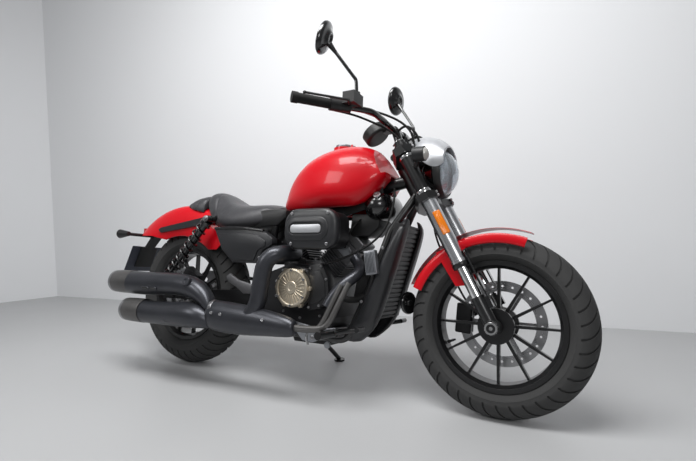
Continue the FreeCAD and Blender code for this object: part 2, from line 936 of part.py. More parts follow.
def make_clamps():
    """Upper and lower fork clamps on one steering stem."""
    body = new_body("fork_clamps")
    reach = "fork_spacing + upper_tube_radius + clamp_wall"
    ahead = "upper_tube_radius + clamp_wall"
    behind = "-fork_offset - stem_radius - clamp_wall"

    def clamp_plate(low, thickness):
        sketch = new_sketch(body, "XY_Plane", low)
        outline(sketch, [
            (behind, "-clamp_waist"),
            ("-upper_tube_radius", f"-({reach})"),
            ("upper_tube_radius / 2", f"-({reach})"),
            (ahead, "-fork_spacing"),
            ("clamp_wall", "-clamp_waist"),
            ("clamp_wall", "clamp_waist"),
            (ahead, "fork_spacing"),
            ("upper_tube_radius / 2", reach),
            ("-upper_tube_radius", reach),
            (behind, "clamp_waist"),
        ])
        pad(body, sketch, thickness)
        for sign in ("-", ""):
            hole = new_sketch(body, "XY_Plane", low)
            circle(hole, "0", f"{sign}fork_spacing", "upper_tube_radius + fit_gap")
            pocket(body, hole, thickness, reverse=True)

    clamp_plate("lower_clamp_low", "lower_clamp_thickness")
    clamp_plate("upper_clamp_low", "upper_clamp_thickness")
    stem = new_sketch(body, "XY_Plane", "lower_clamp_low")
    circle(stem, "-fork_offset", "0", "stem_radius")
    pad(body, stem, "upper_clamp_low + upper_clamp_thickness - lower_clamp_low")
    nut = new_sketch(body, "XY_Plane", "upper_clamp_low + upper_clamp_thickness")
    circle(nut, "-fork_offset", "0", "stem_nut_radius")
    pad(body, nut, "stem_nut_height")
    return keep("fork_clamps", body, fork_place)


make_clamps()


def make_lugs():
    """Axle lugs under the inner tubes, joined by the front axle."""
    spacing = size.fork_spacing
    sides = []
    for side in (-1, 1):
        sleeve = rod(
            Vector(0, side * spacing, 0), Vector(0, side * spacing, size.lug_top), size.lug_radius
        )
        half = size.axle_boss_half_width
        boss = rod(
            Vector(0, side * spacing - half, 0),
            Vector(0, side * spacing + half, 0),
            size.axle_boss_radius,
        )
        outer_face = side * (spacing + half)
        nut = rod(
            Vector(0, outer_face, 0),
            Vector(0, outer_face + side * size.axle_nut_height, 0),
            size.axle_nut_radius,
        )
        spacer = rod(
            Vector(0, side * (spacing - half), 0),
            Vector(0, side * (size.front_hub_half_width + size.head_tube_end_gap), 0),
            size.axle_spacer_radius,
        )
        sides += [sleeve, boss, nut, spacer]
    axle = rod(Vector(0, -spacing, 0), Vector(0, spacing, 0), size.axle_radius)
    end = spacing + size.axle_boss_half_width + size.axle_nut_height
    bores = [
        rod(
            Vector(0, side * (end - size.axle_bore_depth), 0),
            Vector(0, side * (end + size.cut_overrun), 0),
            size.axle_bore_radius,
        )
        for side in (-1, 1)
    ]
    return keep_shape("fork_lugs", fused([axle] + sides).cut(bores), fork_place)


make_lugs()


def make_front_caliper():
    """Brake caliper behind the left fork leg, slotted for the disc, on a bracket from the lug."""
    middle_radius = size.front_disc_radius - size.front_disc_width / 2
    half = size.caliper_half_width
    offset = size.front_disc_offset
    slot = size.disc_thickness / 2 + size.caliper_gap
    block = Part.makeBox(
        size.caliper_length,
        2 * half,
        size.caliper_depth,
        Vector(-size.caliper_length / 2, -half, -size.caliper_depth / 2),
    )
    block = block.makeFillet(size.caliper_gap * 4, block.Edges)
    gap = Part.makeBox(
        size.caliper_length * 2,
        2 * slot,
        size.caliper_depth,
        Vector(-size.caliper_length, -slot, -size.caliper_depth + size.front_disc_width / 2 + size.caliper_gap),
    )
    block = block.cut(gap)
    block.Placement = Placement(
        Vector(0, offset, 0), Rotation(Y_AXIS, -(size.caliper_angle - 90))
    ).multiply(Placement(Vector(0, 0, middle_radius), Rotation()))
    angle = math.radians(size.caliper_angle)
    reach = middle_radius
    centre = Vector(reach * math.cos(angle), 0, reach * math.sin(angle))
    inner_y = offset + half - size.caliper_gap
    outer_y = size.fork_spacing
    arm = rod(
        Vector(centre.x, inner_y, centre.z), Vector(centre.x, outer_y, centre.z), size.caliper_reach / 2
    )
    link = rod(
        Vector(centre.x, outer_y - size.caliper_bracket_thickness / 2, centre.z),
        Vector(-size.lug_radius - size.fit_gap, outer_y - size.caliper_bracket_thickness / 2, size.lug_top * 0.7),
        size.caliper_bracket_thickness,
    )
    lugs = [item.Shape for item in nodes if item.Label == "fork_lugs"][0].copy()
    lugs.Placement = Placement()
    return keep_shape("front_caliper", fused([block, arm, link]).cut(lugs), fork_place)


make_front_caliper()


def make_front_fender():
    """Front fender: curved sheet over the tyre with side brackets that meet the fork tubes."""
    inner = size.front_tyre_radius + size.front_fender_gap
    outer = inner + size.front_fender_thickness
    half = size.front_fender_half_width
    depth = size.front_fender_side_depth
    wall = size.front_fender_thickness

    def profile(radius, width, drop):
        return [
            Vector(radius - drop, -width, 0),
            Vector(radius - drop * 0.45, -width * 0.97, 0),
            Vector(radius - drop * 0.12, -width * 0.72, 0),
            Vector(radius, 0, 0),
            Vector(radius - drop * 0.12, width * 0.72, 0),
            Vector(radius - drop * 0.45, width * 0.97, 0),
            Vector(radius - drop, width, 0),
        ]

    def arch(radius, width, drop):
        curve = Part.BSplineCurve()
        curve.interpolate(profile(radius, width, drop))
        return curve

    upper = arch(outer, half, depth)
    under = arch(inner, half - wall, depth)
    wire = Part.Wire([
        upper.toShape(),
        Part.LineSegment(upper.EndPoint, under.EndPoint).toShape(),
        under.toShape(),
        Part.LineSegment(under.StartPoint, upper.StartPoint).toShape(),
    ])
    sheet_face = Part.Face(wire)
    start = size.front_fender_start_angle
    sweep = size.front_fender_end_angle - start
    sheet_face.rotate(Vector(), Y_AXIS, -start)
    blade = sheet_face.revolve(Vector(), -Y_AXIS, sweep)
    brackets = []
    for side in (-1, 1):
        flank = size.fork_spacing - size.outer_tube_radius - size.fit_gap
        low = size.front_fender_bracket_low
        high = size.front_fender_bracket_high
        width = size.front_fender_bracket_width
        corners = [
            Vector(-width * 0.75, 0, low),
            Vector(-width * 0.25, 0, low * 0.92),
            Vector(width * 0.3, 0, low * 1.5),
            Vector(width * 0.62, 0, high),
            Vector(-width * 0.9, 0, high),
        ]
        placed = [corner + Vector(0, side * half - (wall if side > 0 else 0), 0) for corner in corners]
        skirt = plate(placed, Y_AXIS, wall)
        brackets.append(skirt)
        for height in (low, (low + size.outer_tube_low) / 2):
            brackets.append(rod(
                Vector(0, side * (half - wall), height),
                Vector(0, side * (flank + size.outer_tube_radius - size.inner_tube_radius), height),
                size.lug_radius / 3,
            ))
    swept = fused([blade] + brackets)
    tyre_room = rod(
        Vector(0, -half + wall, 0), Vector(0, half - wall, 0), inner
    )
    return keep_shape("front_fender", swept.cut(tyre_room), fork_place)


make_front_fender()


def make_guards():
    """Both guards as separate solids."""
    solids = []
    for side in (-1, 1):
        y = side * size.fork_spacing
        half = size.guard_half_width
        low = size.guard_low
        high = size.guard_high - half
        front = size.guard_forward
        blade = box_between(Vector(front, y - half, low), Vector(front + size.guard_thickness, y + half, high))
        cap = rod(Vector(front, y, high), Vector(front + size.guard_thickness, y, high), half)
        foot = box_between(
            Vector(size.lug_radius - size.guard_thickness, y - half * 0.7, low * 0.6),
            Vector(front + size.guard_thickness, y + half * 0.7, low),
        )
        lug = rod(Vector(0, y, 0), Vector(0, y, size.lug_top), size.lug_radius + size.fit_gap)
        solids.append(fused([blade, cap, foot]).cut(lug))
    return keep_shape("fork_guards", Part.makeCompound(solids), fork_place)


make_guards()


# Headlight


def make_headlight():
    """Headlight shell and lens, both turned about the lamp's own axis."""
    place = Placement(Vector(size.headlight_x, 0, size.headlight_z), Rotation())
    shell = new_body("headlight_shell")
    profile = new_sketch(shell, "XZ_Plane")
    outline(profile, [
        ("-headlight_depth", "0"),
        ("-headlight_depth", "headlight_back_radius * 0.8"),
        ("-headlight_depth * 0.9", "headlight_back_radius"),
        ("-headlight_depth * 0.45", "headlight_radius * 0.86"),
        ("-headlight_rim_length", "headlight_radius"),
        ("-headlight_rim_length * 0.6", "headlight_radius + headlight_rim_step"),
        ("0", "headlight_radius + headlight_rim_step"),
        ("0", "0"),
    ])
    revolve(shell, profile, "H_Axis")
    keep("headlight_shell", shell, place)
    lens_radius = size.headlight_radius - size.lens_margin
    start_x = size.lens_edge
    bulge = size.lens_bulge
    edge = Vector(start_x, 0, lens_radius)
    ball = (lens_radius ** 2 + bulge ** 2) / (2 * bulge)
    half_turn = math.asin(lens_radius / ball) / 2
    middle = Vector(
        start_x + bulge - ball * (1 - math.cos(half_turn)), 0, ball * math.sin(half_turn)
    )
    crown = Vector(start_x + bulge, 0, 0)
    face = Part.Face(Part.Wire([
        Part.Arc(edge, middle, crown).toShape(),
        Part.LineSegment(crown, Vector()).toShape(),
        Part.LineSegment(Vector(), Vector(0, 0, lens_radius)).toShape(),
        Part.LineSegment(Vector(0, 0, lens_radius), edge).toShape(),
    ]))
    keep_shape("headlight_lens", face.revolve(Vector(), X_AXIS, 360), place)


make_headlight()

# Cowl stations from back to front: place along the length, half width, low edge and top
COWL_SHARES = (
    (0, 0.5, 0.3, 0.98),
    (0.3, 0.82, 0.1, 1),
    (0.62, 0.97, 0, 0.94),
    (0.88, 1, 0.02, 0.8),
    (1, 0.98, 0.2, 0.68),
)


def make_cowl():
    """Cowl over the headlight, hollowed to its clearance round the lamp."""
    wires = []
    for along, wide, low, high in COWL_SHARES:
        x = size.cowl_back_x + along * size.cowl_length
        half = wide * size.cowl_half_width
        base = size.cowl_low_z + low * size.cowl_height * 0.4
        top = size.cowl_low_z + high * size.cowl_height
        wires.append(smooth_section([
            Vector(x, 0, base),
            Vector(x, half * 0.9, base),
            Vector(x, half, base + (top - base) * 0.3),
            Vector(x, half * 0.66, base + (top - base) * 0.8),
            Vector(x, 0, top),
            Vector(x, -half * 0.66, base + (top - base) * 0.8),
            Vector(x, -half, base + (top - base) * 0.3),
            Vector(x, -half * 0.9, base),
        ]))
    solid = loft(wires)
    lamp_radius = size.headlight_radius + size.headlight_rim_step + size.cowl_clearance
    lamp = rod(
        Vector(size.cowl_back_x - size.cowl_length, 0, size.headlight_z),
        Vector(size.cowl_back_x + size.cowl_length * 2, 0, size.headlight_z),
        lamp_radius,
    )
    below = box_between(
        Vector(size.cowl_back_x - size.cowl_length, -size.cowl_half_width * 2, size.cowl_low_z - size.cowl_height),
        Vector(size.cowl_back_x + size.cowl_length * 2, size.cowl_half_width * 2, size.cowl_low_z),
    )
    tubes = [
        rod(
            fork_point(0, side * size.fork_spacing, size.lower_clamp_low),
            fork_point(0, side * size.fork_spacing, size.fork_cap_top + size.cowl_height),
            size.upper_tube_radius + size.clamp_wall + size.cowl_clearance,
        )
        for side in (-1, 1)
    ]
    clamp_room = rod(
        fork_point(0, -size.fork_spacing, size.upper_clamp_low),
        fork_point(0, size.fork_spacing, size.upper_clamp_low),
        size.clamp_waist + size.cowl_clearance,
    )
    return keep_shape("headlight_cowl", solid.cut([lamp, below, clamp_room] + tubes))


make_cowl()


# Handlebar and what it carries


def bar_points(side):
    """Centre line of one half of the handlebar, from the middle to its end."""
    end = Vector(size.bar_end_x, side * size.bar_end_y, size.bar_end_z)
    bend = Vector(size.bar_bend_x, side * size.bar_bend_y, size.bar_centre_z + size.bar_rise)
    straight = Vector(size.bar_centre_x, side * size.bar_clamp_half_width, size.bar_centre_z)
    return [straight, bend, end]


def along_grip(side, distance_from_end):
    """Point on the bar's outer straight, counted from its end."""
    start, bend, end = bar_points(side)
    inward = (bend - end).normalize()
    return end + inward * distance_from_end


def make_handlebar():
    """Swept-back handlebar on two risers over the upper clamp."""
    right = bar_points(-1)
    left = bar_points(1)
    bar = tube(list(reversed(right)) + left, size.bar_radius, size.bar_bend_radius)
    parts = [bar]
    top = size.upper_clamp_low + size.upper_clamp_thickness
    for side in (-1, 1):
        foot = fork_point(-size.fork_offset / 2, side * size.riser_spacing, top)
        head = Vector(size.bar_centre_x, side * size.riser_spacing, size.bar_centre_z)
        parts.append(rod(foot, head, size.riser_radius))
        parts.append(rod(
            head - Y_AXIS * size.riser_radius, head + Y_AXIS * size.riser_radius, size.riser_radius
        ))
    floor = Part.makeBox(
        size.cowl_length * 2,
        size.fork_spacing * 4,
        size.upper_clamp_thickness * 2,
        Vector(-size.cowl_length, -size.fork_spacing * 2, top - size.upper_clamp_thickness * 2),
    )
    floor.Placement = fork_place
    return keep_shape("handlebar", fused(parts).cut(floor))


make_handlebar()


def make_grips():
    """Rubber grips with wider ends, one on each end of the bar."""
    grips = []
    for side in (-1, 1):
        end = along_grip(side, -size.grip_end_length)
        collar = along_grip(side, size.grip_end_length)
        inner = along_grip(side, size.grip_length)
        bar = rod(along_grip(side, 0), along_grip(side, size.grip_length * 1.2), size.bar_radius)
        solid = fused([rod(end, inner, size.grip_radius), rod(end, collar, size.grip_end_radius)])
        grips.append(solid.cut(bar))
    return keep_shape("grips", Part.makeCompound(grips))


make_grips()


def make_bar_controls():
    """Switch housings, lever perches, levers and the brake fluid reservoir."""
    solids = []
    for side in (-1, 1):
        grip_inner = size.grip_length + size.fit_gap
        housing = rod(
            along_grip(side, grip_inner),
            along_grip(side, grip_inner + size.switch_length),
            size.switch_radius,
        )
        perch_start = grip_inner + size.switch_length
        perch = rod(
            along_grip(side, perch_start),
            along_grip(side, perch_start + size.perch_length),
            size.perch_radius,
        )
        inward = (along_grip(side, 1) - along_grip(side, 0)).normalize()
        ahead = (inward.cross(Z_AXIS) * side).normalize()
        if ahead.x < 0:
            ahead = -ahead
        hub = along_grip(side, perch_start + size.perch_length / 2) + ahead * (
            size.perch_radius + size.lever_half_width
        )
        elbow = along_grip(side, perch_start) + ahead * size.lever_forward
        tip = along_grip(side, size.grip_end_radius) + ahead * size.lever_forward * 0.9
        arm = rod(along_grip(side, perch_start + size.perch_length / 2), hub, size.lever_thickness)
        lever = fused([
            rod(hub, elbow, size.lever_thickness / 2 + 1 * size.fit_gap),
            rod(elbow, tip, size.lever_thickness / 2),
            Part.makeSphere(size.lever_thickness / 2 + size.fit_gap, elbow),
            Part.makeSphere(size.lever_thickness * 0.7, tip),
        ])
        parts = [housing, perch, arm, lever]
        stem_base = Vector(
            size.stem_rod_base_x, side * size.stem_rod_base_y, size.stem_rod_base_z
        )
        parts.append(rod(
            along_grip(side, perch_start + size.perch_length / 2), stem_base, size.stem_sleeve_radius
        ))
        if side < 0:
            centre = along_grip(side, perch_start + size.perch_length) + ahead * size.reservoir_depth / 2
            low = centre - Vector(size.reservoir_depth / 2, size.reservoir_length / 2, 0)
            tank = Part.makeBox(
                size.reservoir_depth, size.reservoir_length, size.reservoir_height, low
            )
            parts.append(tank)
        bar = tube(list(bar_points(side)), size.bar_radius, size.bar_bend_radius)
        solids.append(fused(parts).cut(bar))
    return keep_shape("bar_controls", Part.makeCompound(solids))


make_bar_controls()


def make_mirrors():
    """Oval mirrors on kneed stems, one on each lever perch."""
    mirrors = []
    carriers = [item.Shape for item in nodes if item.Label in ("handlebar", "bar_controls")]
    for side in (-1, 1):
        base = Vector(size.stem_rod_base_x, side * size.stem_rod_base_y, size.stem_rod_base_z)
        knee = Vector(base.x - size.stem_rod_radius, base.y, size.stem_rod_knee_z)
        centre = Vector(size.mirror_x, side * size.mirror_y, size.mirror_z)
        toward = (centre - knee).normalize()
        neck = centre - toward * size.mirror_half_height * 0.6
        stem = tube([base, knee, neck], size.stem_rod_radius, size.stem_rod_bend_radius)
        sleeve = rod(base, base + Z_AXIS * size.stem_sleeve_length, size.stem_sleeve_radius)
        socket = Part.makeCone(
            size.stem_rod_radius,
            size.stem_sleeve_radius,
            size.mirror_half_height * 0.6,
            neck - toward * size.mirror_half_height * 0.5,
            toward,
        )
        rings = []
        for step, (reach, grow) in enumerate(MIRROR_SHARES):
            rings.append((reach * size.mirror_depth, grow))
        wires = []
        for depth, grow in rings:
            wires.append(smooth_section([
                Vector(
                    depth,
                    grow * size.mirror_half_width * math.cos(turn * math.pi / 6),
                    grow * size.mirror_half_height * math.sin(turn * math.pi / 6),
                )
                for turn in range(12)
            ]))
        head = loft(wires)
        head.Placement = Placement(
            centre, Rotation(side * -size.mirror_turn, size.mirror_tilt / 2, side * size.mirror_tilt)
        )
        mirrors.append(fused([head, stem, sleeve, socket]).cut(carriers))
    return keep_shape("mirrors", Part.makeCompound(mirrors))


# Mirror shell stations from the glass forward: share of the depth and of the outline
MIRROR_SHARES = ((-0.35, 0.9), (-0.3, 0.99), (0, 1), (0.35, 0.86), (0.6, 0.55), (0.68, 0.2))
make_mirrors()


def make_meter():
    """Round meter pod on a bracket from the handlebar."""
    place = Placement(
        Vector(size.meter_x, 0, size.meter_z), Rotation(Y_AXIS, -size.meter_tilt)
    )
    pod = Part.makeCylinder(size.meter_radius, size.meter_depth, Vector(0, 0, -size.meter_depth / 2))
    pod = pod.makeFillet(size.meter_depth / 4, [pod.Edges[2]])
    pod.Placement = place
    start = Vector(size.bar_centre_x, 0, size.bar_centre_z)
    arm = plate(
        [
            start + Vector(0, -size.meter_bracket_half_width, size.bar_radius),
            Vector(size.meter_x, -size.meter_bracket_half_width, size.meter_z),
            Vector(size.meter_x, size.meter_bracket_half_width, size.meter_z),
            start + Vector(0, size.meter_bracket_half_width, size.bar_radius),
        ],
        Z_AXIS,
        size.meter_bracket_thickness,
    )
    bar = tube(
        [start - Y_AXIS * size.bar_clamp_half_width, start, start + Y_AXIS * size.bar_clamp_half_width][::2],
        size.bar_radius + size.fit_gap,
        size.bar_bend_radius,
    )
    return keep_shape("meter", fused([pod, arm]).cut(bar))


make_meter()


def make_front_indicators():
    """Round indicators on stalks from the upper fork tubes."""
    solids = []
    for side in (-1, 1):
        centre = Vector(size.front_indicator_x, side * size.front_indicator_y, size.front_indicator_z)
        lamp = rod(
            centre - X_AXIS * size.front_indicator_depth / 2,
            centre + X_AXIS * size.front_indicator_depth / 2,
            size.front_indicator_radius,
        )
        s = (size.lower_clamp_low + size.upper_clamp_low) / 2 + size.lower_clamp_thickness
        root = fork_point(0, side * size.fork_spacing, s)
        stalk = rod(root, centre, size.indicator_stalk_radius)
        upper = rod(
            fork_point(0, side * size.fork_spacing, size.lower_clamp_low),
            fork_point(0, side * size.fork_spacing, size.fork_cap_top),
            size.upper_tube_radius + size.fit_gap,
        )
        solids.append(fused([lamp, stalk]).cut(upper))
    return keep_shape("front_indicators", Part.makeCompound(solids))


make_front_indicators()


# Frame


def make_frame():
    """Welded tube frame: head tube, backbone, twin downtubes, cradle and seat rails."""
    low = size.lower_clamp_low + size.lower_clamp_thickness + size.head_tube_end_gap
    high = size.upper_clamp_low - size.head_tube_end_gap
    axis_x = -size.fork_offset
    head = rod(fork_point(axis_x, 0, low), fork_point(axis_x, 0, high), size.head_tube_radius)
    bore = rod(
        fork_point(axis_x, 0, low - size.cut_overrun),
        fork_point(axis_x, 0, high + size.cut_overrun),
        size.stem_radius + size.head_tube_bore_gap,
    )
    rear_point = Vector(size.backbone_rear_x, 0, size.backbone_rear_z)
    backbone = rod(fork_point(axis_x, 0, size.backbone_front_s), rear_point, size.backbone_radius)
    parts = [head, backbone]
    radius = size.frame_tube_radius
    bend = size.frame_bend_radius
    for side in (-1, 1):
        top = fork_point(axis_x, 0, size.downtube_top_s)
        top = Vector(top.x, side * radius, top.z)
        middle = Vector(
            size.downtube_mid_x, side * size.downtube_half_spacing * 0.6, size.downtube_mid_z
        )
        spread = side * size.downtube_half_spacing
        rear_top = Vector(
            size.seat_rail_front_x, side * size.seat_rail_half_spacing, size.seat_rail_front_z
        )
        parts.append(tube(
            [
                top,
                middle,
                Vector(size.downtube_low_x, spread, size.downtube_low_z),
                Vector(size.cradle_front_x, spread, size.cradle_z),
                Vector(size.cradle_rear_x, side * size.pivot_tube_half_spacing, size.cradle_z),
                Vector(size.pivot_x, side * size.pivot_tube_half_spacing, size.pivot_z),
                rear_top,
            ],
            radius,
            bend,
        ))
        parts.append(tube(
            [
                rear_point,
                rear_top,
                Vector(size.seat_rail_rear_x, side * size.seat_rail_half_spacing, size.seat_rail_rear_z),
            ],
            radius,
            bend,
        ))
        parts.append(Part.makeSphere(radius, rear_top))
        boss_inner = Vector(
            size.shock_top_x, side * size.seat_rail_half_spacing, size.shock_top_z
        )
        boss_outer = Vector(
            size.shock_top_x,
            side * (size.shock_offset - size.shock_eye_half_width - size.fit_gap),
            size.shock_top_z,
        )
        parts.append(rod(boss_inner, boss_outer, size.shock_boss_radius))
        pivot = Vector(size.pivot_x, 0, size.pivot_z)
        parts.append(rod(
            pivot,
            pivot + Y_AXIS * side * (size.arm_offset - size.arm_half_thickness - size.fit_gap),
            size.arm_pivot_radius,
        ))
    stand_pivot = Vector(size.stand_pivot_x, size.stand_pivot_y, size.stand_pivot_z)
    near = stand_pivot - stand_axis * (size.stand_boss_half_width + size.stand_bracket_gap)
    far = stand_pivot + stand_axis * (size.stand_boss_half_width + size.stand_bracket_gap)
    parts.append(rod(near - stand_axis * size.stand_bracket_length, near, size.stand_bracket_radius))
    parts.append(rod(near, far, size.stand_pin_radius))
    parts.append(rod(far, far + stand_axis * size.stand_pin_head_height, size.stand_pin_head_radius))
    cross_low = Vector(size.cradle_rear_x, 0, size.cradle_z)
    spread = size.pivot_tube_half_spacing
    parts.append(rod(cross_low - Y_AXIS * spread, cross_low + Y_AXIS * spread, radius))
    rail_rear = Vector(size.seat_rail_rear_x, 0, size.seat_rail_rear_z)
    rail = size.seat_rail_half_spacing
    parts.append(rod(rail_rear - Y_AXIS * rail, rail_rear + Y_AXIS * rail, radius))
    return keep_shape("frame", fused(parts).cut(bore))


make_frame()


def make_swingarm():
    """Twin-sided swingarm with its pivot tube, a cross tube and the rear axle through its ends."""
    pivot = Vector(size.pivot_x, 0, size.pivot_z)
    axle = Vector(0, 0, size.rear_tyre_radius)
    along = (pivot - axle).normalize()
    up = Y_AXIS.cross(along) * -1
    parts = []
    for side in (-1, 1):
        y = side * size.arm_offset
        half = size.arm_half_height
        start = axle - along * size.arm_tail
        corners = [
            start + up * half * 0.8,
            start - up * half * 0.8,
            pivot - up * half * 1.3,
            pivot + up * half * 1.3,
        ]
        placed = [corner + Y_AXIS * (y - size.arm_half_thickness) for corner in corners]
        parts.append(plate(placed, Y_AXIS, 2 * size.arm_half_thickness))
        parts.append(rod(
            pivot + Y_AXIS * (y - size.arm_half_thickness),
            pivot + Y_AXIS * (y + size.arm_half_thickness),
            size.arm_pivot_radius,
        ))
        shock_low = Vector(size.shock_low_x, 0, size.shock_low_z)
        ear_y = y if side > 0 else y
        ear = rod(
            Vector(shock_low.x, ear_y - size.arm_half_thickness * 0.5, shock_low.z),
            Vector(
                shock_low.x,
                side * (size.shock_offset - size.shock_eye_half_width - size.fit_gap),
                shock_low.z,
            ),
            size.shock_boss_radius,
        )
        web = plate(
            [
                Vector(shock_low.x - size.shock_eye_radius, y - size.arm_half_thickness * 0.5, shock_low.z),
                Vector(shock_low.x + size.shock_eye_radius, y - size.arm_half_thickness * 0.5, shock_low.z),
                Vector(shock_low.x + size.shock_eye_radius * 2, y - size.arm_half_thickness * 0.5, axle.z),
                Vector(shock_low.x - size.shock_eye_radius, y - size.arm_half_thickness * 0.5, axle.z),
            ],
            Y_AXIS,
            size.arm_half_thickness,
        )
        outer_face = y + side * size.arm_half_thickness
        nut = rod(
            axle + Y_AXIS * outer_face,
            axle + Y_AXIS * (outer_face + side * size.rear_axle_nut_height),
            size.rear_axle_nut_radius,
        )
        parts += [ear, web, nut]
    cross = Vector(size.arm_cross_x, 0, size.pivot_z)
    parts.append(rod(
        cross - Y_AXIS * size.arm_offset, cross + Y_AXIS * size.arm_offset, size.arm_half_height * 0.8
    ))
    parts.append(rod(
        axle - Y_AXIS * size.arm_offset, axle + Y_AXIS * size.arm_offset, size.axle_radius
    ))
    return keep_shape("swingarm", fused(parts))


make_swingarm()


def make_shocks():
    """Twin shock absorbers and their coil springs between the frame and the swingarm."""
    low = Vector(size.shock_low_x, size.shock_offset, size.shock_low_z)
    top = Vector(size.shock_top_x, size.shock_offset, size.shock_top_z)
    along = (top - low).normalize()
    length = (top - low).Length
    place = Placement(low, Rotation(Z_AXIS, along))
    eye = size.shock_eye_radius
    cap = size.shock_cap_height
    parts = []
    for height in (0, length):
        parts.append(rod(
            Vector(0, -size.shock_eye_half_width, height),
            Vector(0, size.shock_eye_half_width, height),
            eye,
        ))
    base = Vector(0, 0, eye * 0.5)
    seat_low = Vector(0, 0, eye * 0.8 + cap)
    seat_top = Vector(0, 0, length - eye * 0.8 - cap)
    parts.append(rod(base, seat_low + Z_AXIS * (length / 3), size.shock_rod_radius))
    parts.append(rod(seat_low - Z_AXIS * cap, seat_low, size.shock_cap_radius))
    parts.append(rod(seat_top, seat_top + Z_AXIS * cap, size.shock_cap_radius))
    parts.append(rod(seat_low + Z_AXIS * (length / 3), seat_top + Z_AXIS * cap, size.shock_body_radius))
    parts.append(rod(seat_top, Vector(0, 0, length - eye * 0.5), size.shock_rod_radius * 1.4))
    shock = fused(parts)
    shock.Placement = place
    keep_shape("shock_absorbers", both_sides(shock))
    height = seat_top.z - seat_low.z - 2 * size.spring_wire_radius - 2 * size.fit_gap
    pitch = height / size.spring_turns
    helix = Part.makeHelix(pitch, height, size.spring_radius)
    section = Part.Wire([
        Part.makeCircle(size.spring_wire_radius, Vector(size.spring_radius, 0, 0), Y_AXIS)
    ])
    spring = Part.Wire(helix).makePipeShell([section], True, True)
    lift = Placement(seat_low + Z_AXIS * (size.spring_wire_radius + size.fit_gap), Rotation())
    spring.Placement = place.multiply(lift)
    keep_shape("shock_springs", both_sides(spring))


make_shocks()


# Engine

CASE_SHARES = (
    (0.05, 0), (0.86, 0), (0.97, 0.2), (1, 0.5), (0.9, 0.8), (0.72, 0.97),
    (0.4, 1), (0.12, 0.86), (0, 0.6), (0, 0.2),
)


def make_engine_case():
    """Crankcase with its sump and the raised side cases."""
    body = new_body("engine_case")
    sketch = new_sketch(body, "XZ_Plane")
    shared_outline(sketch, CASE_SHARES, "case_length", "case_height", "case_rear_x", "case_low_z")
    pad(body, sketch, "2 * case_half_width", centred=True)
    sump = new_sketch(body, "XZ_Plane")
    outline(sump, [
        ("sump_rear_x", "case_low_z + cut_overrun"),
        ("sump_rear_x + sump_height / 2", "sump_low_z"),
        ("sump_front_x - sump_height / 2", "sump_low_z"),
        ("sump_front_x", "case_low_z + cut_overrun"),
    ])
    pad(body, sump, "2 * sump_half_width", centred=True)
    right = new_sketch(body, "XZ_Plane", "case_half_width")
    circle(right, "crank_x", "crank_z", "clutch_radius + clutch_edge")
    pad(body, right, "side_case_depth")
    left = new_sketch(body, "XZ_Plane", "-case_half_width")
    circle(left, "crank_x", "crank_z", "left_cover_radius")
    pad(body, left, "left_cover_depth", reverse=True)
    room = new_sketch(body, "XZ_Plane", "-case_half_width")
    reach = "front_sprocket_radius + 2 * chain_half_height + chain_room"
    outline(room, [
        ("case_rear_x - cut_overrun", f"front_sprocket_z - ({reach}) * 1.25"),
        ("front_sprocket_x", f"front_sprocket_z - ({reach})"),
        (f"front_sprocket_x + ({reach}) * 0.7", f"front_sprocket_z - ({reach}) * 0.7"),
        (f"front_sprocket_x + {reach}", "front_sprocket_z"),
        (f"front_sprocket_x + ({reach}) * 0.7", f"front_sprocket_z + ({reach}) * 0.7"),
        ("front_sprocket_x", f"front_sprocket_z + {reach}"),
        ("case_rear_x - cut_overrun", f"front_sprocket_z + ({reach}) * 1.25"),
    ])
    pocket(body, room, "case_half_width - sprocket_offset + chain_half_width + chain_room", reverse=True)
    return keep("engine_case", body)


make_engine_case()
doc.recompute()


def make_clutch_cover():
    """Round clutch cover with screw bosses round its edge."""
    body = new_body("clutch_cover")
    face = new_sketch(body, "XZ_Plane")
    circle(face, "0", "0", "clutch_radius")
    pad(body, face, "clutch_depth")
    boss = new_sketch(body, "XZ_Plane")
    circle(boss, "clutch_radius", "0", "clutch_boss_radius")
    boss_pad = pad(body, boss, "clutch_depth * 0.6")
    repeat(body, boss_pad, boss, "clutch_boss_count")
    place = Placement(
        Vector(size.crank_x, -size.case_half_width - size.side_case_depth, size.crank_z), Rotation()
    )
    return keep("clutch_cover", body, place)


make_clutch_cover()


def make_cylinder(node, angle):
    """Finned barrel, cylinder head and head cover, along the cylinder's own axis."""
    half = size.cylinder_half_length
    wide = size.cylinder_half_width
    base = size.cylinder_base
    depth = size.fin_depth

    def block(low, high, inset):
        return box_between(
            Vector(-half + inset, -wide + inset, low), Vector(half - inset, wide - inset, high)
        )

    parts = [block(base, base + size.barrel_height, depth)]
    pitch = size.barrel_height / size.fin_count
    for step in range(int(size.fin_count)):
        low = base + pitch * (step + 1) - size.fin_thickness
        parts.append(block(low, low + size.fin_thickness, 0))
    head_low = base + size.barrel_height
    parts.append(block(head_low, head_low + size.head_height, depth / 4))
    cover_low = head_low + size.head_height
    cover = block(cover_low, cover_low + size.head_cover_height, size.head_cover_inset)
    parts.append(cover.makeFillet(size.head_cover_inset, cover.Edges))
    cylinder = fused(parts)
    cylinder.Placement = Placement(
        Vector(size.crank_x, 0, size.crank_z), Rotation(Y_AXIS, angle)
    )
    case = [item.Shape for item in nodes if item.Label == "engine_case"][0]
    return keep_shape(node, cylinder.cut(case))


make_cylinder("front_cylinder", size.front_cylinder_angle)
make_cylinder("rear_cylinder", -size.rear_cylinder_angle)


